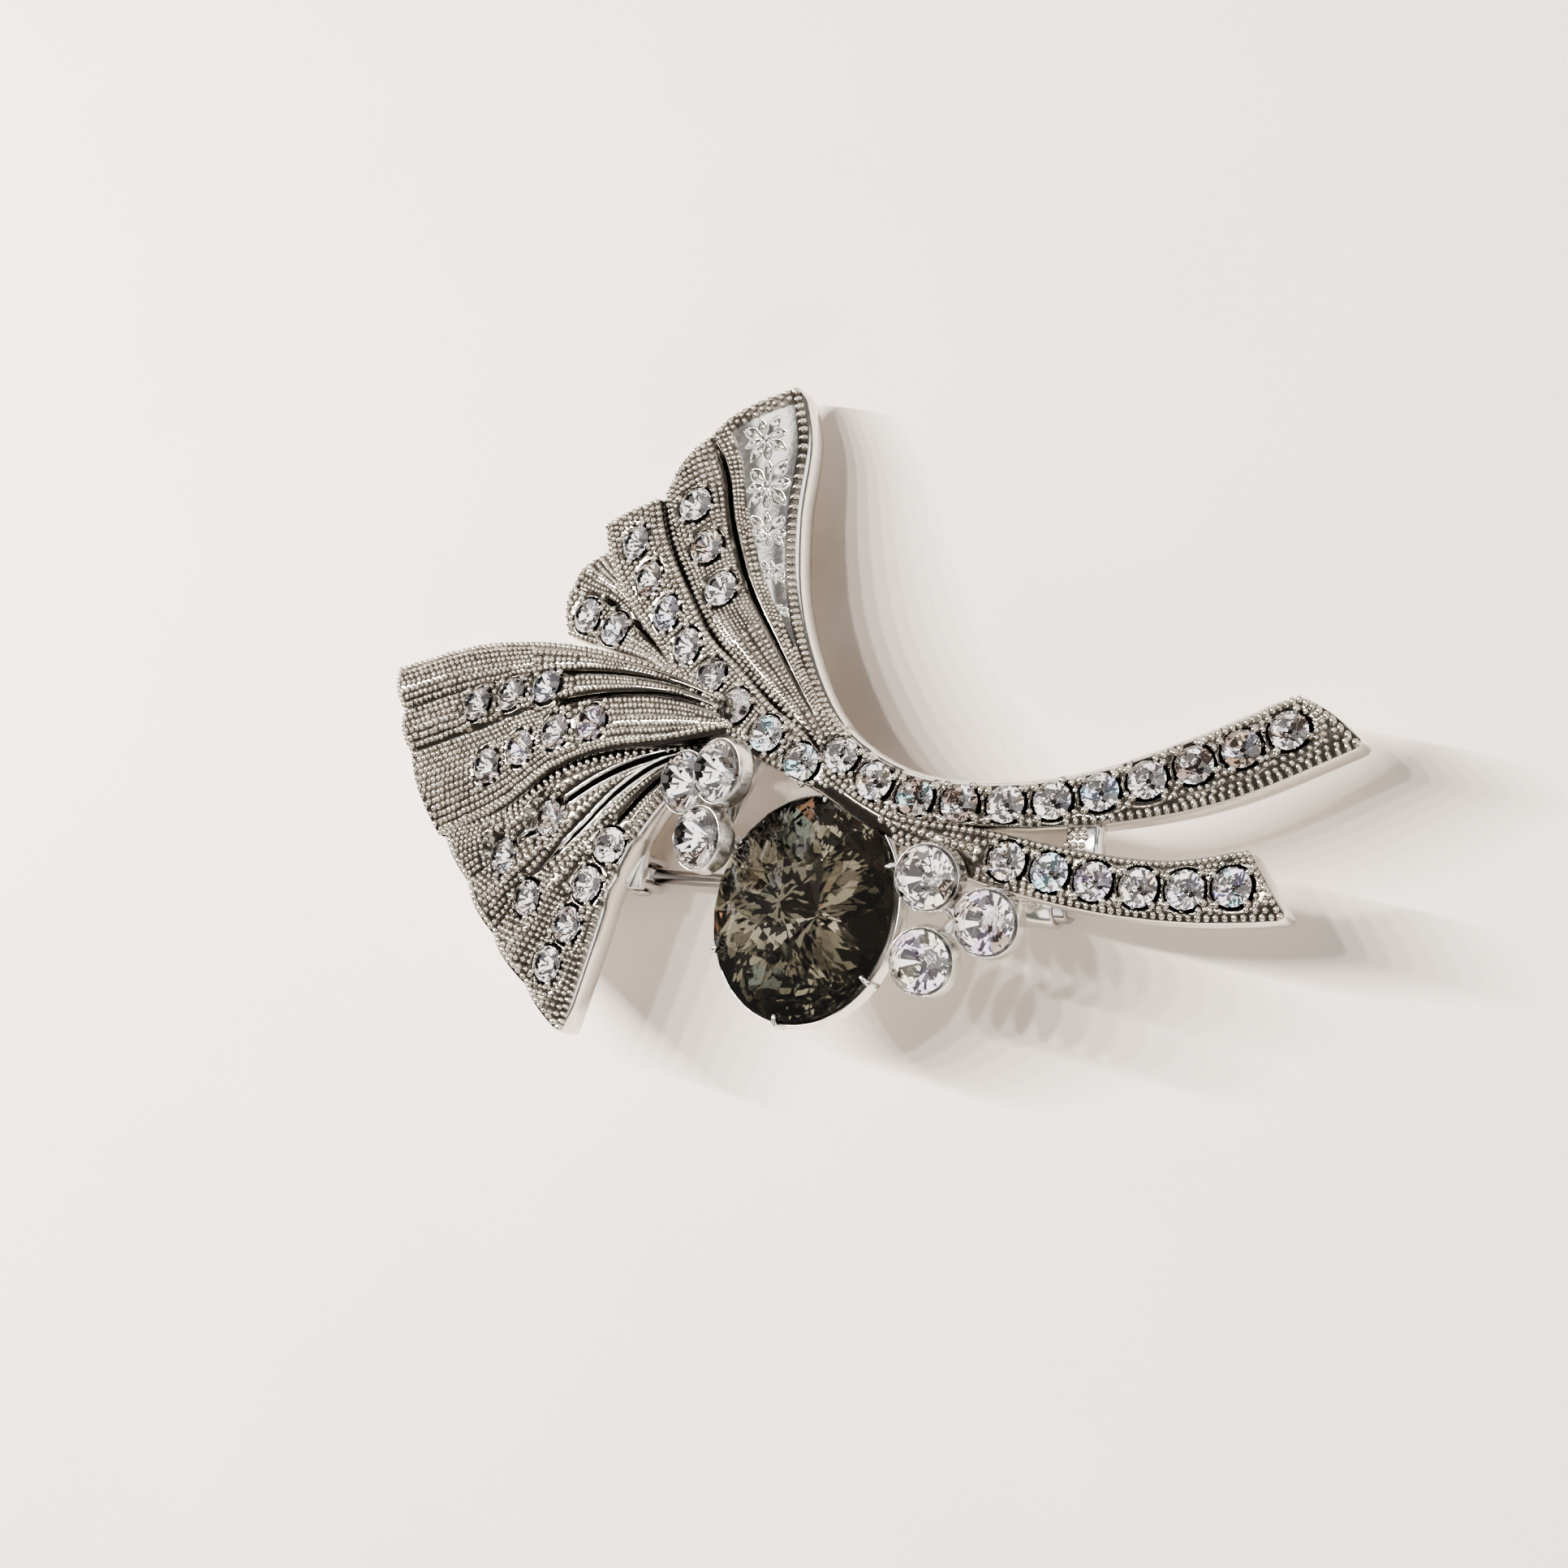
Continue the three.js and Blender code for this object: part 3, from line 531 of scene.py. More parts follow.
BEADS = bead_metal()
GROUND = ground_metal()
POLISHED = polished_metal()
WIRE = wire_metal()
CLEAR = glass("clear_glass", (0.97, 0.965, 0.97))
SMOKY = glass("smoky_glass", (0.24, 0.228, 0.185))
# Past the plain colour, the tints are painted reflections: darker and lighter facets, and coloured facets
# for fire.
SILVER_FOIL = foil(
    "silver_foil",
    (0.97, 0.95, 0.95),
    [
        (0.46, (0.82, 0.77, 0.76)),
        (0.62, (0.3, 0.22, 0.18)),
        (0.68, (0.98, 0.97, 0.98)),
        (0.86, (1.0, 0.86, 0.66)),
        (0.91, (0.8, 0.84, 1.0)),
        (0.95, (0.6, 0.93, 1.0)),
        (0.97, (0.86, 0.76, 1.0)),
        (0.99, (1.0, 1.0, 0.8)),
    ],
)
# Past the plain colour, the tints are painted reflections: dark and bright facets, and a few coloured ones
# for fire.
SMOKY_FOIL = foil(
    "smoky_foil",
    (0.7, 0.67, 0.6),
    [
        (0.3, (0.3, 0.28, 0.24)),
        (0.52, (0.95, 0.91, 0.84)),
        (0.70, (0.48, 0.46, 0.42)),
        (0.90, (0.9, 0.74, 0.48)),
        (0.93, (0.4, 0.38, 0.8)),
        (0.945, (0.62, 0.36, 0.27)),
        (0.965, (0.4, 0.5, 0.34)),
        (0.985, (0.5, 0.62, 0.66)),
    ],
)


# ---- Meshes -----------------------------------------------------------------------------------


def new_mesh(name, points, faces, materials, material_of=None, shade_smooth=True, outward=False):
    """An object from points in millimetres. material_of gives each face's place in materials."""
    mesh = bpy.data.meshes.new(name)
    mesh.from_pydata((np.asarray(points) * MM).tolist(), [], [tuple(face) for face in faces])
    for material in materials:
        mesh.materials.append(material)
    if material_of is not None:
        mesh.polygons.foreach_set("material_index", np.asarray(material_of, np.int32))
    mesh.polygons.foreach_set("use_smooth", np.full(len(mesh.polygons), shade_smooth))
    if outward:
        work = bmesh.new()
        work.from_mesh(mesh)
        bmesh.ops.recalc_face_normals(work, faces=work.faces)
        work.to_mesh(mesh)
        work.free()
    made = bpy.data.objects.new(name, mesh)
    bpy.context.scene.collection.objects.link(made)
    return made


def belongs(piece, body, node):
    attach(piece, body)
    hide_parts(node)


def part_of_casting(piece):
    belongs(piece, "brooch", "ribbon_casting")


def add_values(piece, name, values, domain="POINT"):
    layer = piece.data.attributes.new(name, "FLOAT", domain)
    layer.data.foreach_set("value", np.asarray(values, np.float32))


# ---- Sheets -----------------------------------------------------------------------------------

# The edge wall from the face to the back: (share of the way down, share of the bulge). The band of
# stars lies between STAR_BAND's two distances from the pleat's borders.
WALL = [
    (0.02, 0.3),
    (0.08, 0.62),
    (0.2, 0.88),
    (0.4, 1.0),
    (0.6, 0.95),
    (0.8, 0.7),
    (0.94, 0.25),
    (1.0, -0.4),
]
BACK_COLUMNS = 8
END_BULGE = 0.1
PIT_DEPTH = 0.7
STAR_SPACING = 2.9
STAR_FIRST = 2.6
STAR_COUNT = 6
STAR_BAND = (0.5, 1.25)
STAR_END = STAR_FIRST + STAR_SPACING * (STAR_COUNT - 0.5)


def star_cuts(ribbon, u, v):
    """Bright-cut stars along the upper fan's outer pleat, each of eight leaf-shaped cuts."""
    pleat, width = ribbon.pleat_width(u, v)
    x = (v * ribbon.count - pleat) * width
    across = x - 0.5 * (STAR_BAND[0] + width - STAR_BAND[1])
    along = np.interp(u, ribbon.table, ribbon.along)
    half_band = 0.5 * (width - sum(STAR_BAND))
    depth = np.zeros(len(u))
    for star in range(STAR_COUNT):
        ahead = along - STAR_FIRST - star * STAR_SPACING
        for leaf in range(8):
            angle = leaf * math.pi / 4
            cos, sin = math.cos(angle), math.sin(angle)
            reach = np.minimum(0.5 * STAR_SPACING, 1.05 * half_band) * (1.15 if leaf % 2 else 1.0)
            out = ahead * cos + across * sin
            side = np.abs(across * cos - ahead * sin)
            share = np.clip((out - 0.06) / (reach - 0.06), 0, 1)
            half = 0.2 * reach * np.sin(math.pi * share**1.2)
            cut = np.where(half > 0.01, 1.2 * half * (1 - side / np.maximum(half, 0.01)), 0)
            depth = np.maximum(depth, np.where((share > 0) & (share < 1), cut, 0))
    return np.where(pleat == 0, np.maximum(depth, 0), 0)


def in_stars(ribbon, u, v):
    """1 on the polished band that holds the stars."""
    if ribbon is not upper_ribbon:
        return np.zeros(len(u))
    pleat, width = ribbon.pleat_width(u, v)
    x = (v * ribbon.count - pleat) * width
    along = np.interp(u, ribbon.table, ribbon.along)
    low, high = STAR_BAND
    band = smooth(low, low + 0.1, x) * smooth(high, high + 0.1, width - x)
    return band * smooth(0.9, 1.1, along) * (1 - smooth(STAR_END - 0.4, STAR_END, along)) * (pleat == 0)


def face_and_shade(ribbon, u, v):
    """The face in full, and its polish and painted shade: 0 for the black shade in a groove, 0.3 between
    beads and 1 where polished.
    """
    point = ribbon.plain(u, v)
    channel, rim = ribbon.channel_depth(u, v)
    band = in_stars(ribbon, u, v)
    point[:, 2] += -channel + rim
    # Painted shade: the grooves between pleats go black.
    polish_and_shade = 0.3 * (1 - smooth(0.08, 0.35, channel))
    if ribbon is upper_ribbon:
        point[:, 2] -= star_cuts(ribbon, u, v) * band
    edge = np.minimum(v, 1 - v) * sum(np.interp(u, ribbon.table, w) for w in ribbon.widths)
    inner = smooth(0.1, 0.3, edge)
    stone_edge = SMALL_STONE / 2
    for centre, _, _, out in ribbon.seats:
        offset = point - centre
        height = offset @ out
        radius = np.linalg.norm(offset - height[:, None] * out, axis=1)
        flat = 1 - smooth(1.3, 2.0, radius)
        pit = inner * (1 - smooth(stone_edge + 0.02, stone_edge + 0.12, radius))
        point -= ((height + 0.12) * flat)[:, None] * out
        point -= (PIT_DEPTH * pit)[:, None] * out
        # Painted shade: the face goes darker in each stone's pit and in a ring round the stone.
        stone_shade = 1 - smooth(stone_edge + 0.1, stone_edge + 0.4, radius)
        polish_and_shade *= 1 - 0.8 * pit - 0.6 * stone_shade * (1 - pit)
    return point, np.maximum(polish_and_shade, np.maximum(band, smooth(0.02, 0.06, rim)))


def edge_outward(outline):
    """Level unit vectors that point out of a closed outline."""
    after = np.roll(outline, -1, axis=0)
    tangent = after - np.roll(outline, 1, axis=0)
    outward = unit(np.stack([tangent[:, 1], -tangent[:, 0], np.zeros(len(outline))], -1))
    area = np.sum(outline[:, 0] * after[:, 1] - outline[:, 1] * after[:, 0])
    return outward * np.sign(area)


def plain_back(ribbon, u, v):
    back = ribbon.base(u, v)
    back[:, 2] -= CASTING_THICKNESS
    return back


def back_faces(ribbon, fine_u, nv, edge, start):
    """The plain back inside the wall's last ring: its inner points, counted from start, and faces.

    A row of points runs from one long side of the ring to the other at every step of u.
    """
    nu = len(fine_u)
    left = edge[:nu]
    right = edge[nu + nv - 2 : 2 * nu + nv - 2][::-1]
    inner_v = np.linspace(0, 1, BACK_COLUMNS + 1)[1:-1]
    points, rows, faces = [], [], []
    for i in range(1, nu - 1):
        row_u = np.full(len(inner_v), fine_u[i])
        points.append(plain_back(ribbon, *ribbon.round_corners(row_u, inner_v)))
        rows.append([left[i], *range(start, start + len(inner_v)), right[i]])
        start += len(inner_v)
    for a, b in zip(rows, rows[1:]):
        faces += [(a[j], a[j + 1], b[j + 1], b[j]) for j in range(BACK_COLUMNS)]
    faces.append((edge[0], *edge[:-nv:-1], *rows[0][::-1]))
    faces.append((*edge[nu - 1 : nu + nv - 1], *rows[-1][::-1]))
    return points, faces


def sheet(ribbon, fine_u, fine_v):
    """A ribbon's closed body: the face with its painted shade, a rounded polished wall, painted dark as
    shade on a tucked side, and a plain back.
    """
    nu, nv = len(fine_u), len(fine_v)
    u, v = (a.ravel() for a in np.meshgrid(fine_u, fine_v, indexing="ij"))
    u, v = ribbon.round_corners(u, v)
    front, polish_and_shade = face_and_shade(ribbon, u, v)
    index = np.arange(nu * nv).reshape(nu, nv)
    quads = np.stack([index[:-1, :-1], index[1:, :-1], index[1:, 1:], index[:-1, 1:]], -1)
    points, faces = [front], quads.reshape(-1, 4).tolist()

    loop = np.concatenate([index[:-1, 0], index[-1, :-1], index[:0:-1, -1], index[0, :0:-1]])
    edge_u, edge_v, top = u[loop], v[loop], front[loop]
    bottom = plain_back(ribbon, edge_u, edge_v)
    from_end = np.minimum(edge_u, 1 - edge_u) * ribbon.along[-1]
    side_bulge = np.interp(edge_v, (0, 1), ribbon.bulge)
    bulge = END_BULGE + (side_bulge - END_BULGE) * smooth(0.2, 1.5, from_end)
    outward = edge_outward(top[:, :2]) * bulge[:, None]
    upper, total = loop, len(front)
    for share, stands in WALL:
        points.append(top * (1 - share) + bottom * share + outward * stands)
        lower = np.arange(total, total + len(loop))
        total += len(loop)
        faces += np.stack([upper, lower, np.roll(lower, -1), np.roll(upper, -1)], -1).tolist()
        upper = lower

    inner_points, inner_faces = back_faces(ribbon, fine_u, nv, upper, total)
    looks = [0] * len(faces) + [1] * len(inner_faces)
    points, faces = np.concatenate(points + inner_points), faces + inner_faces
    piece = new_mesh(f"{ribbon.name}_sheet", points, faces, [GROUND, POLISHED], looks, outward=True)
    side, last_u = ribbon.tucked
    # Painted shade: the wall on the tucked side, where another ribbon meets it, goes dark.
    tucked_shade = (np.abs(edge_v - side) < 0.02) * (1 - smooth(last_u - 0.08, last_u, edge_u))
    wall_polish_and_shade = np.tile(1 - 0.97 * tucked_shade, len(WALL))
    rest = np.ones(len(points) - len(polish_and_shade) - len(wall_polish_and_shade))
    add_values(piece, "polish_and_shade", np.concatenate([polish_and_shade, wall_polish_and_shade, rest]))
    part_of_casting(piece)


def spaced(length, step):
    return np.linspace(0, 1, max(3, int(round(length / step)) + 1))


def graded(ribbon, change, first_step, second_step):
    """u in close steps up to a length along the ribbon, then in wider ones."""
    length = ribbon.along[-1]
    places = np.concatenate([np.arange(0, change, first_step), np.arange(change, length, second_step)])
    return np.interp(np.append(places, length), ribbon.along, ribbon.table)


# ---- Beads ------------------------------------------------------------------------------------


def ball():
    """The points and faces of a small round bead of radius 1."""
    work = bmesh.new()
    bmesh.ops.create_icosphere(work, subdivisions=2, radius=1)
    points = np.array([p.co for p in work.verts])
    faces = np.array([[p.index for p in face.verts] for face in work.faces])
    work.free()
    return points, faces


BALL_POINTS, BALL_FACES = ball()


def beads(name, centres, along, across, out, sizes):
    """One piece of many beads. sizes are each bead's half sizes along, across and out."""
    shapes = BALL_POINTS[None] * sizes[:, None, :]
    axes = (along, across, out)
    turned = sum(shapes[..., i : i + 1] * axis[:, None] for i, axis in enumerate(axes))
    points = (centres[:, None] + turned).reshape(-1, 3)
    starts = np.arange(len(centres)) * len(BALL_POINTS)
    faces = (BALL_FACES[None] + starts[:, None, None]).reshape(-1, 3)
    return new_mesh(name, points, faces, [BEADS])


def clear_of_cups(points):
    """False where a bead would stand in a stone's cup."""
    keep = np.ones(len(points), bool)
    cups = [(centre_place, CENTRE_STONE / 2 + 0.5, 3.4)]
    for _, lean, places, _ in clusters:
        cups += [(standing(place, lean), CHATON / 2 + 0.4, 2.0) for place in places]
    for place, radius, depth in cups:
        local = (np.array(place.inverted()) @ np.c_[points, np.ones(len(points))].T).T
        inside = (np.hypot(local[:, 0], local[:, 1]) < radius) & (local[:, 2] > -depth)
        keep &= ~inside
    return keep


CLOSEST_ROWS = 0.8
LONGEST_ACROSS = 1.05


def clear_side(ribbon, border, margins):
    """How far beads keep from a pleat's border, along the ribbon's table."""
    outer = border in (0, ribbon.count)
    clear = np.full(len(ribbon.table), margins[min(border, 1)] if outer else 0.1)
    if border in ribbon.channels:
        half, _, first, last, raised = ribbon.channels[border]
        wanted = half + (RIM_WIDTH if raised else 0.0) + 0.12
        clear += np.maximum(wanted - clear, 0) * groove_range(first, last, ribbon.table)
    return clear


def row_beads(ribbon, pitch, margins):
    """Rows of beads along every pleat, closing up as it narrows, clear of grooves and stars.

    Gives u, v and each bead's half size along and across its row.
    """
    found = []
    table = ribbon.table
    for (first_u, last_u, finest), pleat in itertools.product(ribbon.zones, range(ribbon.count)):
        width = ribbon.widths[pleat]
        low, high = (clear_side(ribbon, pleat + side, margins) for side in (0, 1))
        room = np.maximum(width - low - high, 0.01)
        zone = (table >= first_u) & (table <= last_u)
        widest = max(pitch, finest)
        rows = max(1, round(room[zone].max() / widest))
        across = room / rows
        stride = 2 ** np.ceil(np.log2(np.maximum(CLOSEST_ROWS * finest / across, 1)))
        step = np.clip(across * stride, finest, 1.15 * widest)
        steps_between = np.diff(ribbon.along) / (0.5 * (step[1:] + step[:-1]))
        passed = np.concatenate([[0], np.cumsum(steps_between)])
        for row in range(rows):
            count = np.arange(0.3 + 0.5 * (row % 2), passed[-1], 1.0)
            u = np.interp(count + rng.normal(0, 0.06, len(count)), passed, table)
            near = np.interp(u, table, stride)
            near = 2 ** np.floor(np.log2(near) + 0.5)
            keep = ((row + near // 2) % near == 0) & (u >= first_u) & (u < last_u)
            u, near = u[keep], near[keep]
            spacing = np.interp(u, table, across)
            x = np.interp(u, table, low) + (row + 0.5 + rng.normal(0, 0.04, len(u))) * spacing
            v = (pleat + x / np.interp(u, table, width)) / ribbon.count
            half_along = 0.5 * np.interp(u, table, step)
            half_across = np.minimum(0.5 * spacing * near, LONGEST_ACROSS * half_along)
            found.append(np.stack([u, v, half_along, half_across], -1))
    u, v, half_along, half_across = np.concatenate(found).T
    end = 0.4 / ribbon.along[-1]
    keep = (u > end) & (u < 1 - end) & (in_stars(ribbon, u, v) < 0.3)
    return u[keep], v[keep], half_along[keep], half_across[keep]


def border_beads(ribbon, pitch, inset):
    """Beads along the whole outline, just inside it."""
    us, vs = [], []
    length = ribbon.along[-1]
    for side in (0, 1):
        count = int(length / pitch)
        u = np.interp((np.arange(count) + 0.5) * length / count, ribbon.along, ribbon.table)
        width = np.interp(u, ribbon.table, ribbon.widths.sum(0))
        us.append(u)
        vs.append(np.abs(side - inset / width))
    for end in (0, 1):
        width = np.interp(end, ribbon.table, ribbon.widths.sum(0))
        count = int(width / pitch)
        vs.append((np.arange(count) + 0.5) / count)
        us.append(np.full(count, abs(end - inset / length)))
    return ribbon.round_corners(np.concatenate(us), np.concatenate(vs))


def clear_of_stones(ribbon, points, reach):
    keep = np.ones(len(points), bool)
    for centre, _, _, _ in ribbon.seats:
        keep &= np.linalg.norm(points - centre, axis=1) > reach
    return keep


PRONGS = 4
PRONG_TURN = math.pi / 4
PRONG_PLACE = SMALL_STONE / 2 + 0.17
PRONG_SIZE = np.array((0.27, 0.25, 0.24))


def prongs(ribbon):
    """Beads pushed over the edge of every pave stone."""
    centres, frames, sizes = [], [], []
    for centre, along, across, out in ribbon.seats:
        for k in range(PRONGS):
            angle = PRONG_TURN + k * 2 * math.pi / PRONGS + rng.normal(0, 0.12)
            way = math.cos(angle) * along + math.sin(angle) * across
            centres.append(centre + way * PRONG_PLACE + out * 0.02)
            frames.append((way, np.cross(out, way), out))
            sizes.append(PRONG_SIZE * rng.uniform(0.9, 1.1))
    along, across, out = (np.array([f[i] for f in frames]).reshape(-1, 3) for i in range(3))
    return np.array(centres).reshape(-1, 3), along, across, out, np.array(sizes).reshape(-1, 3)


BORDER_INSET = 0.22


def bead_layer(ribbon, pitch, margins, border_pitch, border_size):
    """All the beads of a ribbon: its rows, a border along its outline and the prongs of its stones."""
    u, v, half_along, half_across = row_beads(ribbon, pitch, margins)
    face, _ = face_and_shade(ribbon, u, v)
    keep = clear_of_stones(ribbon, face, SMALL_STONE / 2 + 0.26) & clear_of_cups(face)
    along, across, out = (a[keep] for a in ribbon.axes(u, v))
    half_along = half_along[keep] * rng.uniform(0.7, 0.88, keep.sum())
    half_across = half_across[keep] * rng.uniform(0.82, 1.0, keep.sum())
    height = 0.5 * (half_along + half_across) * rng.uniform(0.95, 1.25, keep.sum())
    sizes = np.stack([half_along, half_across, height], -1)
    groups = [(face[keep] + out * 0.04, along, across, out, sizes)]
    u, v = border_beads(ribbon, border_pitch, BORDER_INSET)
    face = ribbon.plain(u, v)
    keep = clear_of_cups(face) & clear_of_stones(ribbon, face, SMALL_STONE / 2 + 0.2)
    along, across, out = (a[keep] for a in ribbon.axes(u, v))
    sizes = np.array(border_size) * rng.uniform(0.88, 1.1, (keep.sum(), 1))
    groups.append((face[keep], along, across, out, sizes))
    if ribbon.seats:
        groups.append(prongs(ribbon))
    all_beads = [np.concatenate(parts) for parts in zip(*groups)]
    part_of_casting(beads(f"{ribbon.name}_beads_1", *all_beads))


# ---- Stones -----------------------------------------------------------------------------------


def ring(radius, height, count, first=0.0):
    angles = (np.arange(count) + first) * 2 * math.pi / count
    return np.stack([radius * np.cos(angles), radius * np.sin(angles), np.full(count, height)], -1)


def brilliant(radius, crown, depth, table_share, sides):
    """A round stone with a flat table: its points, its crown faces and its back faces."""
    table = ring(radius * table_share, crown, sides)
    waist = ring(radius * 0.86, crown * 0.42, sides, 0.5)
    girdle_top = ring(radius, 0.03 * radius, 2 * sides)
    girdle = ring(radius, -0.02 * radius, 2 * sides)
    points = np.concatenate([table, waist, girdle_top, girdle, [(0, 0, -depth)]])
    t, w, g, h = 0, sides, 2 * sides, 4 * sides
    culet = 6 * sides
    crown_faces, back_faces = [tuple(range(sides))], []
    for k in range(sides):
        after, before, gk = (k + 1) % sides, (k - 1) % sides, 2 * k
        gn, g2 = (gk + 1) % (2 * sides), (gk + 2) % (2 * sides)
        crown_faces.append((t + k, w + k, t + after))
        crown_faces.append((t + k, w + before, g + gk, w + k))
        crown_faces.append((w + k, g + gk, g + gn))
        crown_faces.append((w + k, g + gn, g + g2))
        back_faces.append((culet, h + gk, h + gn, h + g2))
    for k in range(2 * sides):
        n = (k + 1) % (2 * sides)
        crown_faces.append((g + k, h + k, h + n, g + n))
    return points, crown_faces, back_faces


def rivoli_side(girdle_height, tip_height, radius, sides, start, tip):
    """One pointed side of a stone in three rings of facets: points for its rings, and its faces."""
    points, faces = [], []
    for i, (share, height) in enumerate(((0.42, 0.62), (0.73, 0.29))):
        points.append(ring(radius * share, tip_height * height, sides, 0.5 if i == 0 else 0.0))
    points.append(ring(radius, girdle_height, 2 * sides))
    a, b, g = start, start + sides, start + 2 * sides
    for k in range(sides):
        after, before = (k + 1) % sides, (k - 1) % sides
        faces.append((tip, a + before, b + k, a + k))
        faces.append((a + k, b + k, g + 2 * k + 1, b + after))
        faces.append((b + k, g + (2 * k - 1) % (2 * sides), g + 2 * k))
        faces.append((b + k, g + 2 * k, g + 2 * k + 1))
    return np.concatenate(points), faces


def rivoli(radius, crown, depth, sides):
    """A stone that is pointed at both sides: its points, its crown faces and its back faces."""
    tips = np.array([(0, 0, crown), (0, 0, -depth)])
    front, crown_faces = rivoli_side(0.05, crown, radius, sides, 2, 0)
    back, back_faces = rivoli_side(-0.05, -depth, radius, sides, 2 + 4 * sides, 1)
    g, h = 2 + 2 * sides, 2 + 6 * sides
    for k in range(2 * sides):
        n = (k + 1) % (2 * sides)
        crown_faces.append((g + k, h + k, h + n, g + n))
    return np.concatenate([tips, front, back]), crown_faces, back_faces


def place_points(points, matrix):
    turn = np.array(matrix)
    return points @ turn[:3, :3].T + turn[:3, 3]


def add_stone(node, cut, matrix, looks):
    points, crown_faces, back_faces = cut
    placed = place_points(points, matrix)
    faces = crown_faces + back_faces
    material_of = [0] * len(crown_faces) + [1] * len(back_faces)
    piece = new_mesh(f"{node}_cut", placed, faces, looks, material_of, shade_smooth=False, outward=True)
    add_values(piece, "chance", rng.uniform(0, 1, len(faces)), "FACE")
    belongs(piece, "brooch", node)


def seat_matrix(seat, spin):
    point, along, across, out = seat
    columns = np.eye(4)
    columns[:3, 0] = along * math.cos(spin) + across * math.sin(spin)
    columns[:3, 1] = across * math.cos(spin) - along * math.sin(spin)
    columns[:3, 2] = out
    columns[:3, 3] = point
    return columns


SMALL_CUT = brilliant(SMALL_STONE / 2, 0.5, 0.95, 0.5, 8)
CHATON_CUT = brilliant(CHATON / 2, 0.85, 1.4, 0.5, 8)
CENTRE_CUT = rivoli(CENTRE_STONE / 2, 2.2, 2.5, 12)

for row_name, ribbon, first_u, row_v, pitch, count in stone_rows:
    for i, seat in enumerate(ribbon.row_of_seats(first_u, row_v, pitch, count)):
        turn = seat_matrix(seat, rng.uniform(0, math.pi / 4))
        add_stone(f"{row_name}_{i + 1}", SMALL_CUT, turn, [CLEAR, SILVER_FOIL])


# ---- Turned pieces, cups and claws ------------------------------------------------------------


def rows_of_quads(rows, count, closed=False):
    """Faces over closed loops of count points each. closed joins the last loop to the first."""
    faces = []
    for row in range(rows if closed else rows - 1):
        this, after = row * count, (row + 1) % rows * count
        for k in range(count):
            n = (k + 1) % count
            faces.append((this + k, this + n, after + n, after + k))
    return faces


def capped_rows(rows, count):
    """Faces over closed rows of points and out to the two end points that follow them."""
    faces = rows_of_quads(rows, count)
    first, last, final_row = rows * count, rows * count + 1, (rows - 1) * count
    for k in range(count):
        n = (k + 1) % count
        faces.append((first, n, k))
        faces.append((last, final_row + k, final_row + n))
    return faces


def lathe(profile, sides):
    """Points and faces of a closed turned body. The profile runs from the axis to the axis."""
    rings = [ring(radius, height, sides) for radius, height in profile[1:-1]]
    ends = [(0, 0, profile[0][1]), (0, 0, profile[-1][1])]
    return np.concatenate([*rings, ends]), capped_rows(len(rings), sides)


def rounded(profile, radius, steps=3):
    """The profile with its inner corners rounded."""
    out = [profile[0]]
    for before, corner, after in zip(profile, profile[1:], profile[2:]):
        a, c, b = (np.array(p, float) for p in (before, corner, after))
        reach = min(radius, np.linalg.norm(a - c) / 2.2, np.linalg.norm(b - c) / 2.2)
        start = c + (a - c) * reach / np.linalg.norm(a - c)
        end = c + (b - c) * reach / np.linalg.norm(b - c)
        for k in range(steps + 1):
            t = k / steps
            out.append(tuple((1 - t) ** 2 * start + 2 * t * (1 - t) * c + t * t * end))
    return out + [profile[-1]]


def joined(parts):
    """Several (points, faces) bodies as one."""
    points, faces, start = [], [], 0
    for part_points, part_faces in parts:
        points.append(part_points)
        faces += [tuple(i + start for i in face) for face in part_faces]
        start += len(part_points)
    return np.concatenate(points), faces


CENTRE_CUP = {"depth": 3.0, "wall_depth": 1.0, "foot_share": 0.5, "rim": -0.22, "seat_depth": 2.75}
CHATON_CUP = {"depth": 1.7, "wall_depth": 1.2, "foot_share": 0.85, "rim": -0.2, "seat_depth": 1.5}


def cup_profile(diameter, depth, wall_depth, foot_share, rim, seat_depth):
    """Half of a stone's cup, from the middle of its foot round the rim to the middle of its seat."""
    inner = diameter / 2 + SEAT_GAP
    outer = inner + CUP_WALL
    lip = inner + 0.05
    return [
        (0, -depth),
        (outer * foot_share, -depth),
        (outer - 0.02, -wall_depth),
        (outer - 0.1, -0.5 * wall_depth),
        (lip + 0.03, rim),
        (lip - 0.03, rim),
        (inner, rim - 0.2),
        (inner * 0.45, -seat_depth),
        (0, -seat_depth),
    ]


def tube(points, radii, sides=16):
    """A closed round bar along points, with its own radius at each."""
    points = np.asarray(points, float)
    tangents = unit(np.gradient(points, axis=0))
    side = unit(np.cross(tangents, (0.13, 0.21, 0.97)))
    other = np.cross(tangents, side)
    angles = np.arange(sides) * 2 * math.pi / sides
    rings = [
        p + r * (np.cos(angles)[:, None] * s + np.sin(angles)[:, None] * o)
        for p, r, s, o in zip(points, radii, side, other)
    ]
    return np.concatenate([*rings, points[:1], points[-1:]]), capped_rows(len(points), sides)


def curved(points, count):
    """A smooth line of count points through the given ones."""
    return catmull(points, np.linspace(0, 1, count))


def arm(start, end, radius_start, radius_end):
    """A straight bar between two points that thins to its middle."""
    t = np.linspace(0, 1, 13)
    line = np.outer(1 - t, start) + np.outer(t, end)
    radii = (radius_start * (1 - t) + radius_end * t) * (1 - 0.5 * t * (1 - t))
    return tube(line, radii)


def slab(low, high, radius):
    """A box between two corners with its edges rounded."""
    work = bmesh.new()
    bmesh.ops.create_cube(work, size=1)
    low, high = np.array(low), np.array(high)
    for point in work.verts:
        point.co = Vector((low + high) / 2 + np.array(point.co) * (high - low))
    bmesh.ops.bevel(work, geom=work.edges[:], offset=radius, segments=4, affect="EDGES", profile=0.5)
    points = np.array([point.co for point in work.verts])
    faces = [tuple(point.index for point in face.verts) for face in work.faces]
    work.free()
    return points, faces


CLAWS = 6
FIRST_CLAW = 0.35
CLAW_RADII = [0.17, 0.18, 0.17, 0.16, 0.14, 0.09]


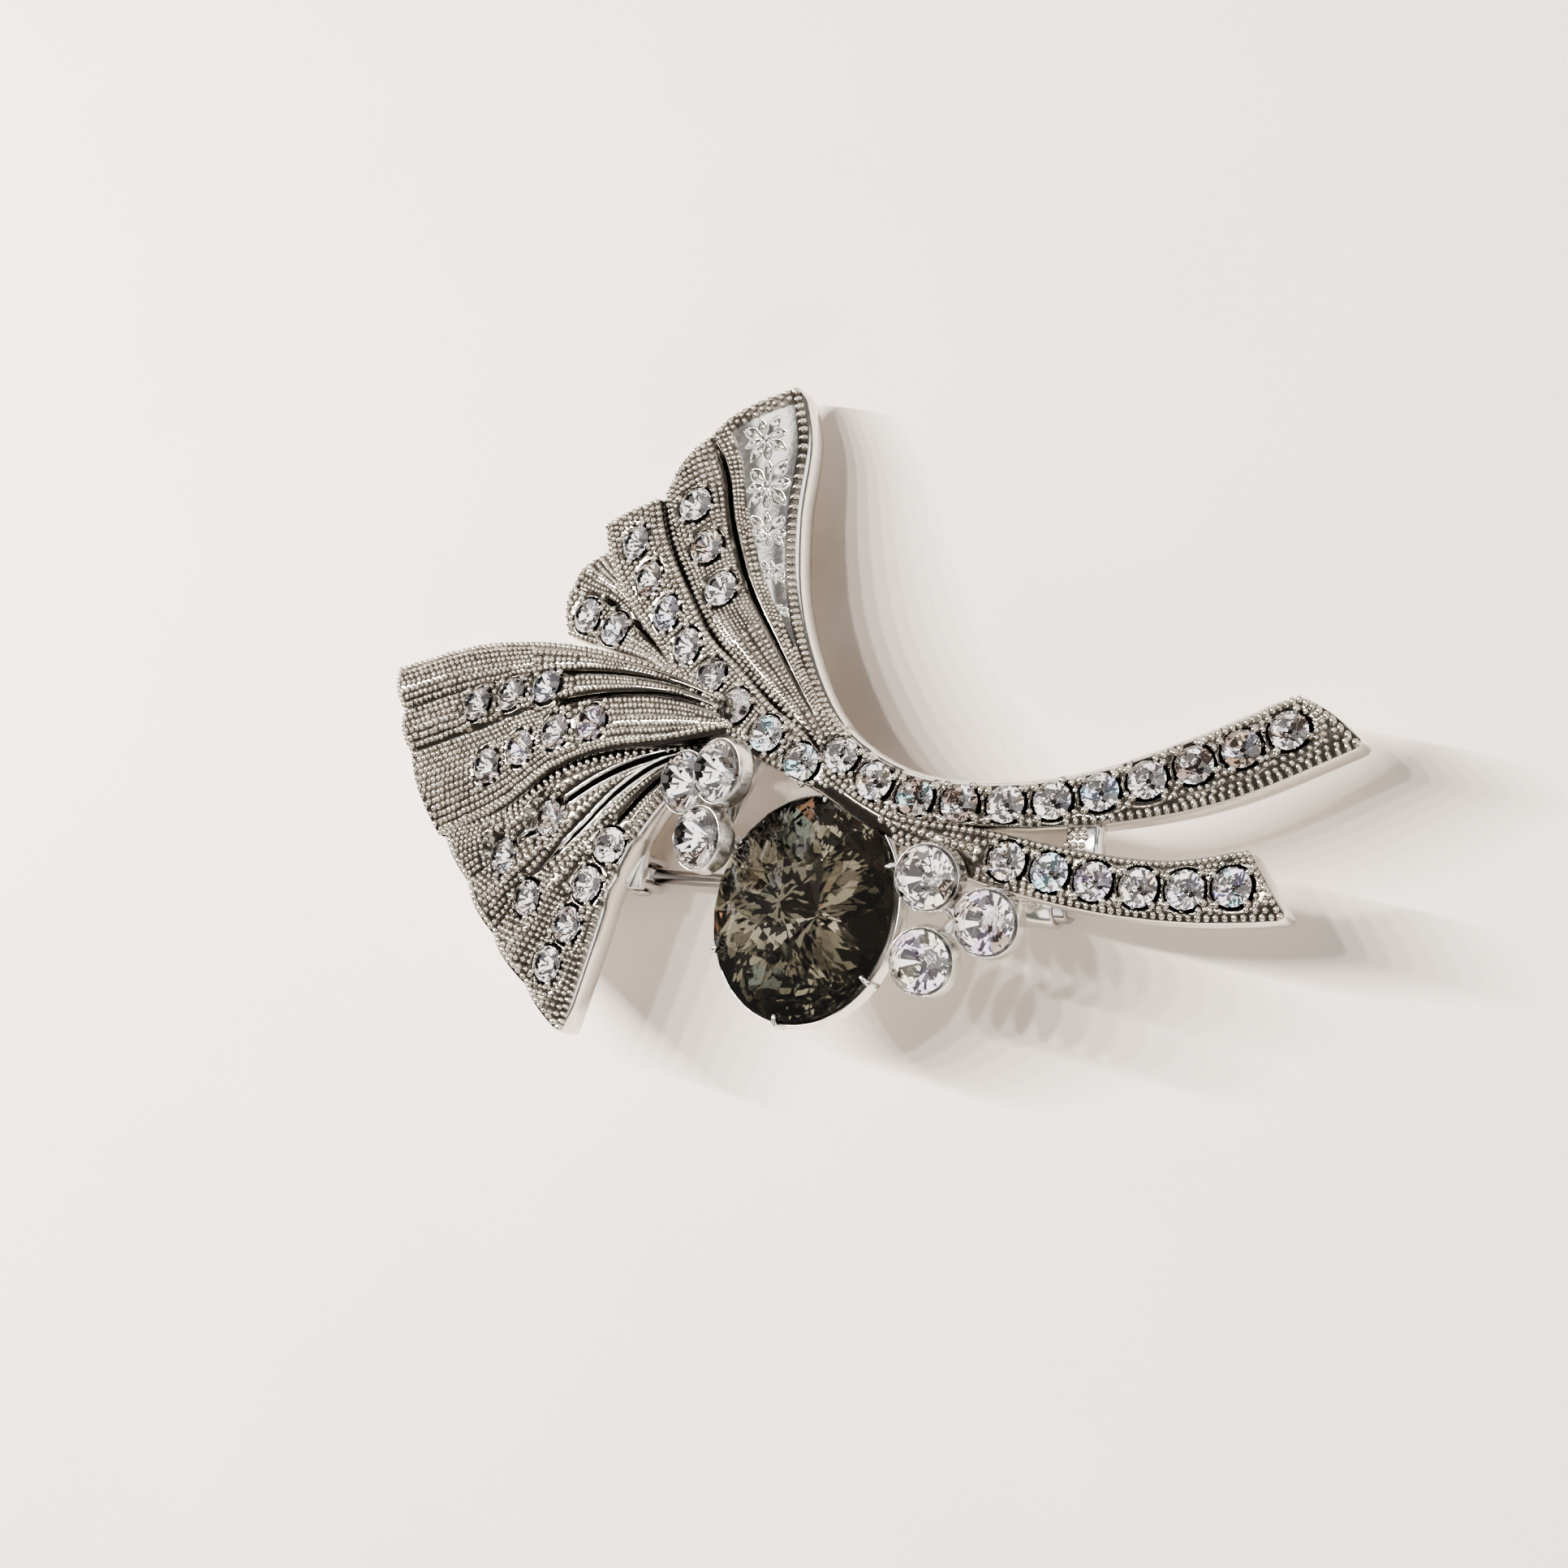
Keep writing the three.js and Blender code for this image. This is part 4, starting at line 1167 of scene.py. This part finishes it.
def claw(turn, outer):
    """A slim prong up the cup's wall and over the stone's edge."""
    inwards = [0.1, 0.06, 0.12, 0.28, 0.5, 0.68]
    heights = [-0.9, -0.35, 0.05, 0.2, 0.27, 0.33]
    path = [(outer - inward, 0, height) for inward, height in zip(inwards, heights)]
    points, faces = tube(path, CLAW_RADII, 12)
    cos, sin = math.cos(turn), math.sin(turn)
    return points @ np.array([(cos, sin, 0), (-sin, cos, 0), (0, 0, 1)]), faces


def centre_setting():
    cup = lathe(rounded(cup_profile(CENTRE_STONE, **CENTRE_CUP), 0.1), 128)
    outer = CENTRE_STONE / 2 + SEAT_GAP + CUP_WALL
    claws = [claw((i + FIRST_CLAW) * 2 * math.pi / CLAWS, outer) for i in range(CLAWS)]
    points, faces = joined([cup, *claws])
    piece = new_mesh("centre_cup", place_points(points, centre_place), faces, [POLISHED], outward=True)
    belongs(piece, "brooch", "centre_setting")


def cluster_setting(name, lean, places, foot):
    """Three cups, each on an arm from the cluster's foot."""
    cup, cup_faces = lathe(rounded(cup_profile(CHATON, **CHATON_CUP), 0.08), 64)
    arm_end = Vector((0, 0, 0.15 - CHATON_CUP["depth"]))
    parts = []
    for point in places:
        matrix = standing(point, lean)
        parts.append((place_points(cup, matrix), cup_faces))
        parts.append(arm(foot, np.array(matrix @ arm_end), 0.5, 0.62))
    points, faces = joined(parts)
    piece = new_mesh(f"{name}_cups", points, faces, [POLISHED], outward=True)
    belongs(piece, "brooch", f"{name}_setting")


add_stone("centre_stone", CENTRE_CUT, centre_place, [SMOKY, SMOKY_FOIL])
centre_setting()
for name, lean, places, foot in clusters:
    cluster_setting(name, lean, places, foot)
    for i, point in enumerate(places):
        spin = Matrix.Rotation(rng.uniform(0, math.pi / 4), 4, "Z")
        matrix = standing(point, lean) @ spin
        add_stone(f"{name}_chaton_{i + 1}", CHATON_CUT, matrix, [CLEAR, SILVER_FOIL])

# ---- The casting ------------------------------------------------------------------------------

sheet(upper_ribbon, graded(upper_ribbon, STAR_END, 0.085, 0.17), spaced(9.5, 0.062))
sheet(lower_ribbon, spaced(lower_ribbon.along[-1], 0.1), spaced(5, 0.1))
sheet(back_lobe, spaced(back_lobe.along[-1], 0.1), spaced(7, 0.1))
sheet(fan_top, spaced(fan_top.along[-1], 0.1), spaced(13, 0.1))
sheet(fan_bottom, spaced(fan_bottom.along[-1], 0.1), spaced(19, 0.11))

bead_layer(upper_ribbon, 0.46, (0.5, 0.42), 0.5, (0.2, 0.32, 0.24))
bead_layer(lower_ribbon, 0.48, (0.42, 0.42), 0.46, (0.2, 0.24, 0.22))
bead_layer(back_lobe, 0.46, (0.42, 0.42), 0.46, (0.2, 0.24, 0.22))
bead_layer(fan_top, 0.5, (0.42, 0.3), 0.46, (0.2, 0.24, 0.22))
bead_layer(fan_bottom, 0.5, (0.3, 0.42), 0.48, (0.2, 0.32, 0.22))


LUG_LOW, LUG_HIGH = (17.4, -10.0, 4.9), (19.7, -7.4, 6.1)
LUG_POLISH = 19.0  # x past which the lug has no beads
LUG_BEAD = 0.21
LUG_PITCH = 0.46


def casting_lug():
    """The beaded lug between the two tails, polished at its right end."""
    points, faces = slab(LUG_LOW, LUG_HIGH, 0.45)
    lug = new_mesh("casting_lug", points, faces, [GROUND], outward=True)
    # Painted shade: left of LUG_POLISH the lug takes the dark between-bead tone; its right end is
    # polished.
    add_values(lug, "polish_and_shade", np.where(points[:, 0] > LUG_POLISH, 0.75, 0.3))
    part_of_casting(lug)


def lug_beads():
    columns = np.arange(LUG_LOW[0] + 0.3, LUG_POLISH - 0.1, LUG_PITCH)
    lines = np.arange(LUG_LOW[1] + 0.5, LUG_HIGH[1] - 0.4, LUG_PITCH)
    x, y = (a.ravel() for a in np.meshgrid(columns, lines))
    places = np.stack([x + 0.1 * np.sin(5 * y), y, np.full(len(x), LUG_HIGH[2])], -1)
    axes = (np.tile(axis, (len(x), 1)) for axis in np.eye(3))
    part_of_casting(beads("lug_beads", places, *axes, np.full((len(x), 3), LUG_BEAD)))


def casting_arms():
    """Arms from the ribbons to the centre stone's cup."""
    left = [
        (-2.0, -2.7, 6.6),
        (-3.1, -3.9, 6.3),
        (-3.7, -5.2, 6.1),
        (-4.6, -6.9, 5.9),
        (-5.2, -8.2, 5.6),
        (-4.8, -9.2, 5.2),
        (-3.9, -9.9, 4.8),
    ]
    right = [(6.0, -7.4, 6.3), (6.0, -8.6, 5.6), (6.0, -9.8, 5.2)]
    left_bar = tube(curved(left, 24), np.full(24, 0.5))
    right_bar = tube(curved(right, 9), np.full(9, 0.7))
    points, faces = joined([left_bar, right_bar])
    part_of_casting(new_mesh("casting_arms", points, faces, [POLISHED], outward=True))


casting_lug()
casting_arms()
lug_beads()


# ---- Pin back ---------------------------------------------------------------------------------

# The pin back's own frame has x along the pin from the hinge to the catch, and z towards the casting.
hinge_to_catch = np.array(CATCH_POINT) - np.array(HINGE_POINT)
catch_at = float(np.linalg.norm(hinge_to_catch))
heading = Matrix.Rotation(math.atan2(hinge_to_catch[1], hinge_to_catch[0]), 4, "Z")
finding_place = Matrix.Translation(Vector(HINGE_POINT)) @ heading
ALONG_X = Matrix.Rotation(math.pi / 2, 4, "Y")
ALONG_Y = Matrix.Rotation(-math.pi / 2, 4, "X")
SOFT_EDGE = 0.08
EAR_STEPS = 64
SLOT_STEPS = 48


def slotted_tube(outer, inner, slot, start, end):
    """A tube round the pin's axis with a slot of one width towards the cloth."""
    profile = [
        (start, inner),
        (start, outer - SOFT_EDGE),
        (start + SOFT_EDGE, outer),
        (end - SOFT_EDGE, outer),
        (end, outer - SOFT_EDGE),
        (end, inner),
    ]
    x, radius = np.array(profile).T
    gap = np.arcsin(slot / 2 / radius)
    rows = []
    for t in np.linspace(0, 1, SLOT_STEPS):
        angle = -math.pi / 2 + gap + t * (2 * math.pi - 2 * gap)
        rows.append(np.stack([x, radius * np.cos(angle), radius * np.sin(angle)], -1))
    count = len(profile)
    faces = rows_of_quads(SLOT_STEPS, count)
    faces.append(tuple(range(count)))
    faces.append(tuple(range((SLOT_STEPS - 1) * count, SLOT_STEPS * count)))
    return np.concatenate(rows), faces


def ear(middle):
    """One hinge ear: round below, square above, with a hole for the rivet and softened edges."""
    thick = EAR_THICKNESS / 2
    angles = np.arange(EAR_STEPS) * 2 * math.pi / EAR_STEPS
    cos, sin = np.cos(angles), np.sin(angles)
    to_side = FINDING_RADIUS / np.maximum(np.abs(cos), 1e-6)
    to_top = EAR_TOP / np.maximum(sin, 1e-6)
    rim = np.where(sin > 0, np.minimum(to_side, to_top), FINDING_RADIUS)
    hole = np.full(EAR_STEPS, RIVET_RADIUS + PLAY / 2)
    loops = [(hole, -thick), (rim - SOFT_EDGE, -thick), (rim, SOFT_EDGE - thick)]
    loops += [(rim, thick - SOFT_EDGE), (rim - SOFT_EDGE, thick), (hole, thick)]
    rows = [np.stack([r * cos, np.full(EAR_STEPS, middle + y), r * sin], -1) for r, y in loops]
    return np.concatenate(rows), rows_of_quads(len(loops), EAR_STEPS, closed=True)


def finding_piece(name, parts, material, body, node):
    """A piece of the pin back, from parts made in its own frame."""
    points, faces = joined(parts)
    piece = new_mesh(name, place_points(points, finding_place), faces, [material], outward=True)
    belongs(piece, body, node)


def turned(profile, sides, matrix):
    """A turned part of the pin back, laid along another axis."""
    points, faces = lathe(profile, sides)
    return place_points(points, matrix), faces


def hinge():
    middle = EYE_THICKNESS / 2 + PLAY + EAR_THICKNESS / 2
    half = middle + EAR_THICKNESS / 2
    plate_x, plate_y = FINDING_RADIUS + 0.7, half + 0.4
    plate_low = (-plate_x, -plate_y, HINGE_PLATE_HEIGHT)
    plate = slab(plate_low, (plate_x, plate_y, HINGE_PLATE_HEIGHT + PLATE_THICKNESS), 0.12)
    finding_piece("hinge_ears", [ear(middle), ear(-middle), plate], POLISHED, "brooch", "hinge_bracket")
    head, shank = half + 0.3, half + 0.05
    profile = [(0, -head), (0.45, -head), (0.62, -head + 0.08), (0.65, -shank), (RIVET_RADIUS, -shank)]
    profile += [(radius, -height) for radius, height in reversed(profile)]
    finding_piece("hinge_pin", [turned(profile, 40, ALONG_Y)], WIRE, "brooch", "hinge_rivet")


def pin_stem():
    end = catch_at + PIN_OVERHANG
    wire = [(0, 0.7), (PIN_RADIUS, 0.72), (PIN_RADIUS, end - 3), (0.4, end - 2)]
    wire += [(0.28, end - 1), (0.09, end - 0.05), (0, end)]
    thick = EYE_THICKNESS / 2
    eye = rounded([(0, -thick), (EYE_RADIUS, -thick), (EYE_RADIUS, thick), (0, thick)], 0.12)
    parts = [turned(wire, 32, ALONG_X), turned(eye, 48, ALONG_Y)]
    finding_piece("pin_wire", parts, WIRE, "pin", "pin_stem")


def catch():
    start, end = catch_at - CATCH_LENGTH / 2, catch_at + CATCH_LENGTH / 2
    barrel = slotted_tube(FINDING_RADIUS, ROTOR_RADIUS + PLAY, CATCH_SLOT + PLAY, start, end)
    post = slab((catch_at - 1.0, -0.4, 1.3), (catch_at + 0.6, 0.8, CATCH_PLATE_HEIGHT + 0.2), 0.12)
    plate_high = (catch_at + 1.3, 2.7, CATCH_PLATE_HEIGHT + PLATE_THICKNESS)
    plate = slab((catch_at - 1.7, -0.3, CATCH_PLATE_HEIGHT), plate_high, 0.15)
    finding_piece("catch_tube", [barrel, post, plate], POLISHED, "brooch", "catch_barrel")
    lever_start, lever_end = end + PLAY, end + PLAY + LEVER_THICKNESS
    rotor = slotted_tube(ROTOR_RADIUS, ROTOR_BORE, CATCH_SLOT, start - PLAY, lever_end)
    lever = slab((lever_start, 0.8, -0.45), (lever_end, 2.3, 0.45), 0.18)
    finding_piece("catch_turner", [rotor, lever], WIRE, "catch", "catch_rotor")


hinge()
pin_stem()
catch()


# ---- Stage, light and camera ------------------------------------------------------------------


def table_top():
    size = 900
    corners = [(-size, -size, -0.02), (size, -size, -0.02), (size, size, -0.02), (-size, size, -0.02)]
    look = Shader("table_top")
    tone = look.ramp(look.noise(60, 3), [(0.3, (0.9, 0.80, 0.71)), (0.7, (0.93, 0.83, 0.74))])
    look.set(Base_Color=tone, Roughness=0.55)
    floor = new_mesh("table_top", corners, [(0, 1, 2, 3)], [look.material])


def lamp(name, place, size, power, colour):
    light = bpy.data.lights.new(name, "AREA")
    light.shape = "RECTANGLE"
    light.size, light.size_y = size[0] * MM, size[1] * MM
    light.energy = power
    light.color = colour
    made = bpy.data.objects.new(name, light)
    made.location = Vector(place) * MM
    made.rotation_euler = (Vector((0, 0, 4)) - Vector(place)).to_track_quat("-Z", "Y").to_euler()
    bpy.context.scene.collection.objects.link(made)
    return made


LAMP_HEIGHT = 420
LAMP_STEP = 88
LAMPS = 9
LAMP_SIZE = 18
LAMP_POWER = 0.68
PANEL_SIZE = (260, 460)
PANEL_POWER = 1.3
PANELS = [(260, 330, 430), (300, -110, 500), (60, -480, 380), (-160, 520, 330), (560, 40, 260)]

table_top()
for i in range(LAMPS):
    spot = (-80 - LAMP_STEP * i, 50 + 18 * i, LAMP_HEIGHT)
    distance = np.linalg.norm(spot) / LAMP_HEIGHT
    lamp("row_lamp", spot, (LAMP_SIZE, LAMP_SIZE), LAMP_POWER * distance**3, (1.0, 0.955, 0.89))
# The panels only show in the metal and the stones, so they leave the row's shadows as they are.
for panel_place in PANELS:
    panel = lamp("panel", panel_place, PANEL_SIZE, PANEL_POWER, (1.0, 0.975, 0.95))
    panel.visible_diffuse = False
# A soft light from the front lifts the shadows there, and doesn't show in the metal.
fill = lamp("fill", (40, -520, 235), (520, 120), 3.4, (1.0, 0.95, 0.9))
fill.visible_glossy = False
fill.visible_transmission = False

world = bpy.data.worlds.new("studio")
world.use_nodes = True
background = world.node_tree.nodes["Background"]
background.inputs["Color"].default_value = (1.0, 0.96, 0.93, 1)
background.inputs["Strength"].default_value = 0.2
bpy.context.scene.world = world

VIEW_TARGET = Vector((-2.4, -5.0, 4.0))
VIEW_BACK = Vector((0.479, -0.19, 0.857)).normalized()
VIEW_DISTANCE = 170
VIEW_ANGLE = math.radians(31.7)
view_up = Vector((0, 0.976, 0.2166))
view_up = (view_up - VIEW_BACK * view_up.dot(VIEW_BACK)).normalized()
view_right = view_up.cross(VIEW_BACK)
camera = bpy.data.objects.new("camera", bpy.data.cameras.new("camera"))
camera.data.sensor_width = 36
camera.data.lens = 18 / math.tan(VIEW_ANGLE / 2)
camera.data.clip_start = 0.005
camera.data.clip_end = 5
turn = Matrix((view_right, view_up, VIEW_BACK)).transposed().to_4x4()
camera.matrix_world = Matrix.Translation((VIEW_TARGET + VIEW_BACK * VIEW_DISTANCE) * MM) @ turn
bpy.context.scene.collection.objects.link(camera)
bpy.context.scene.camera = camera
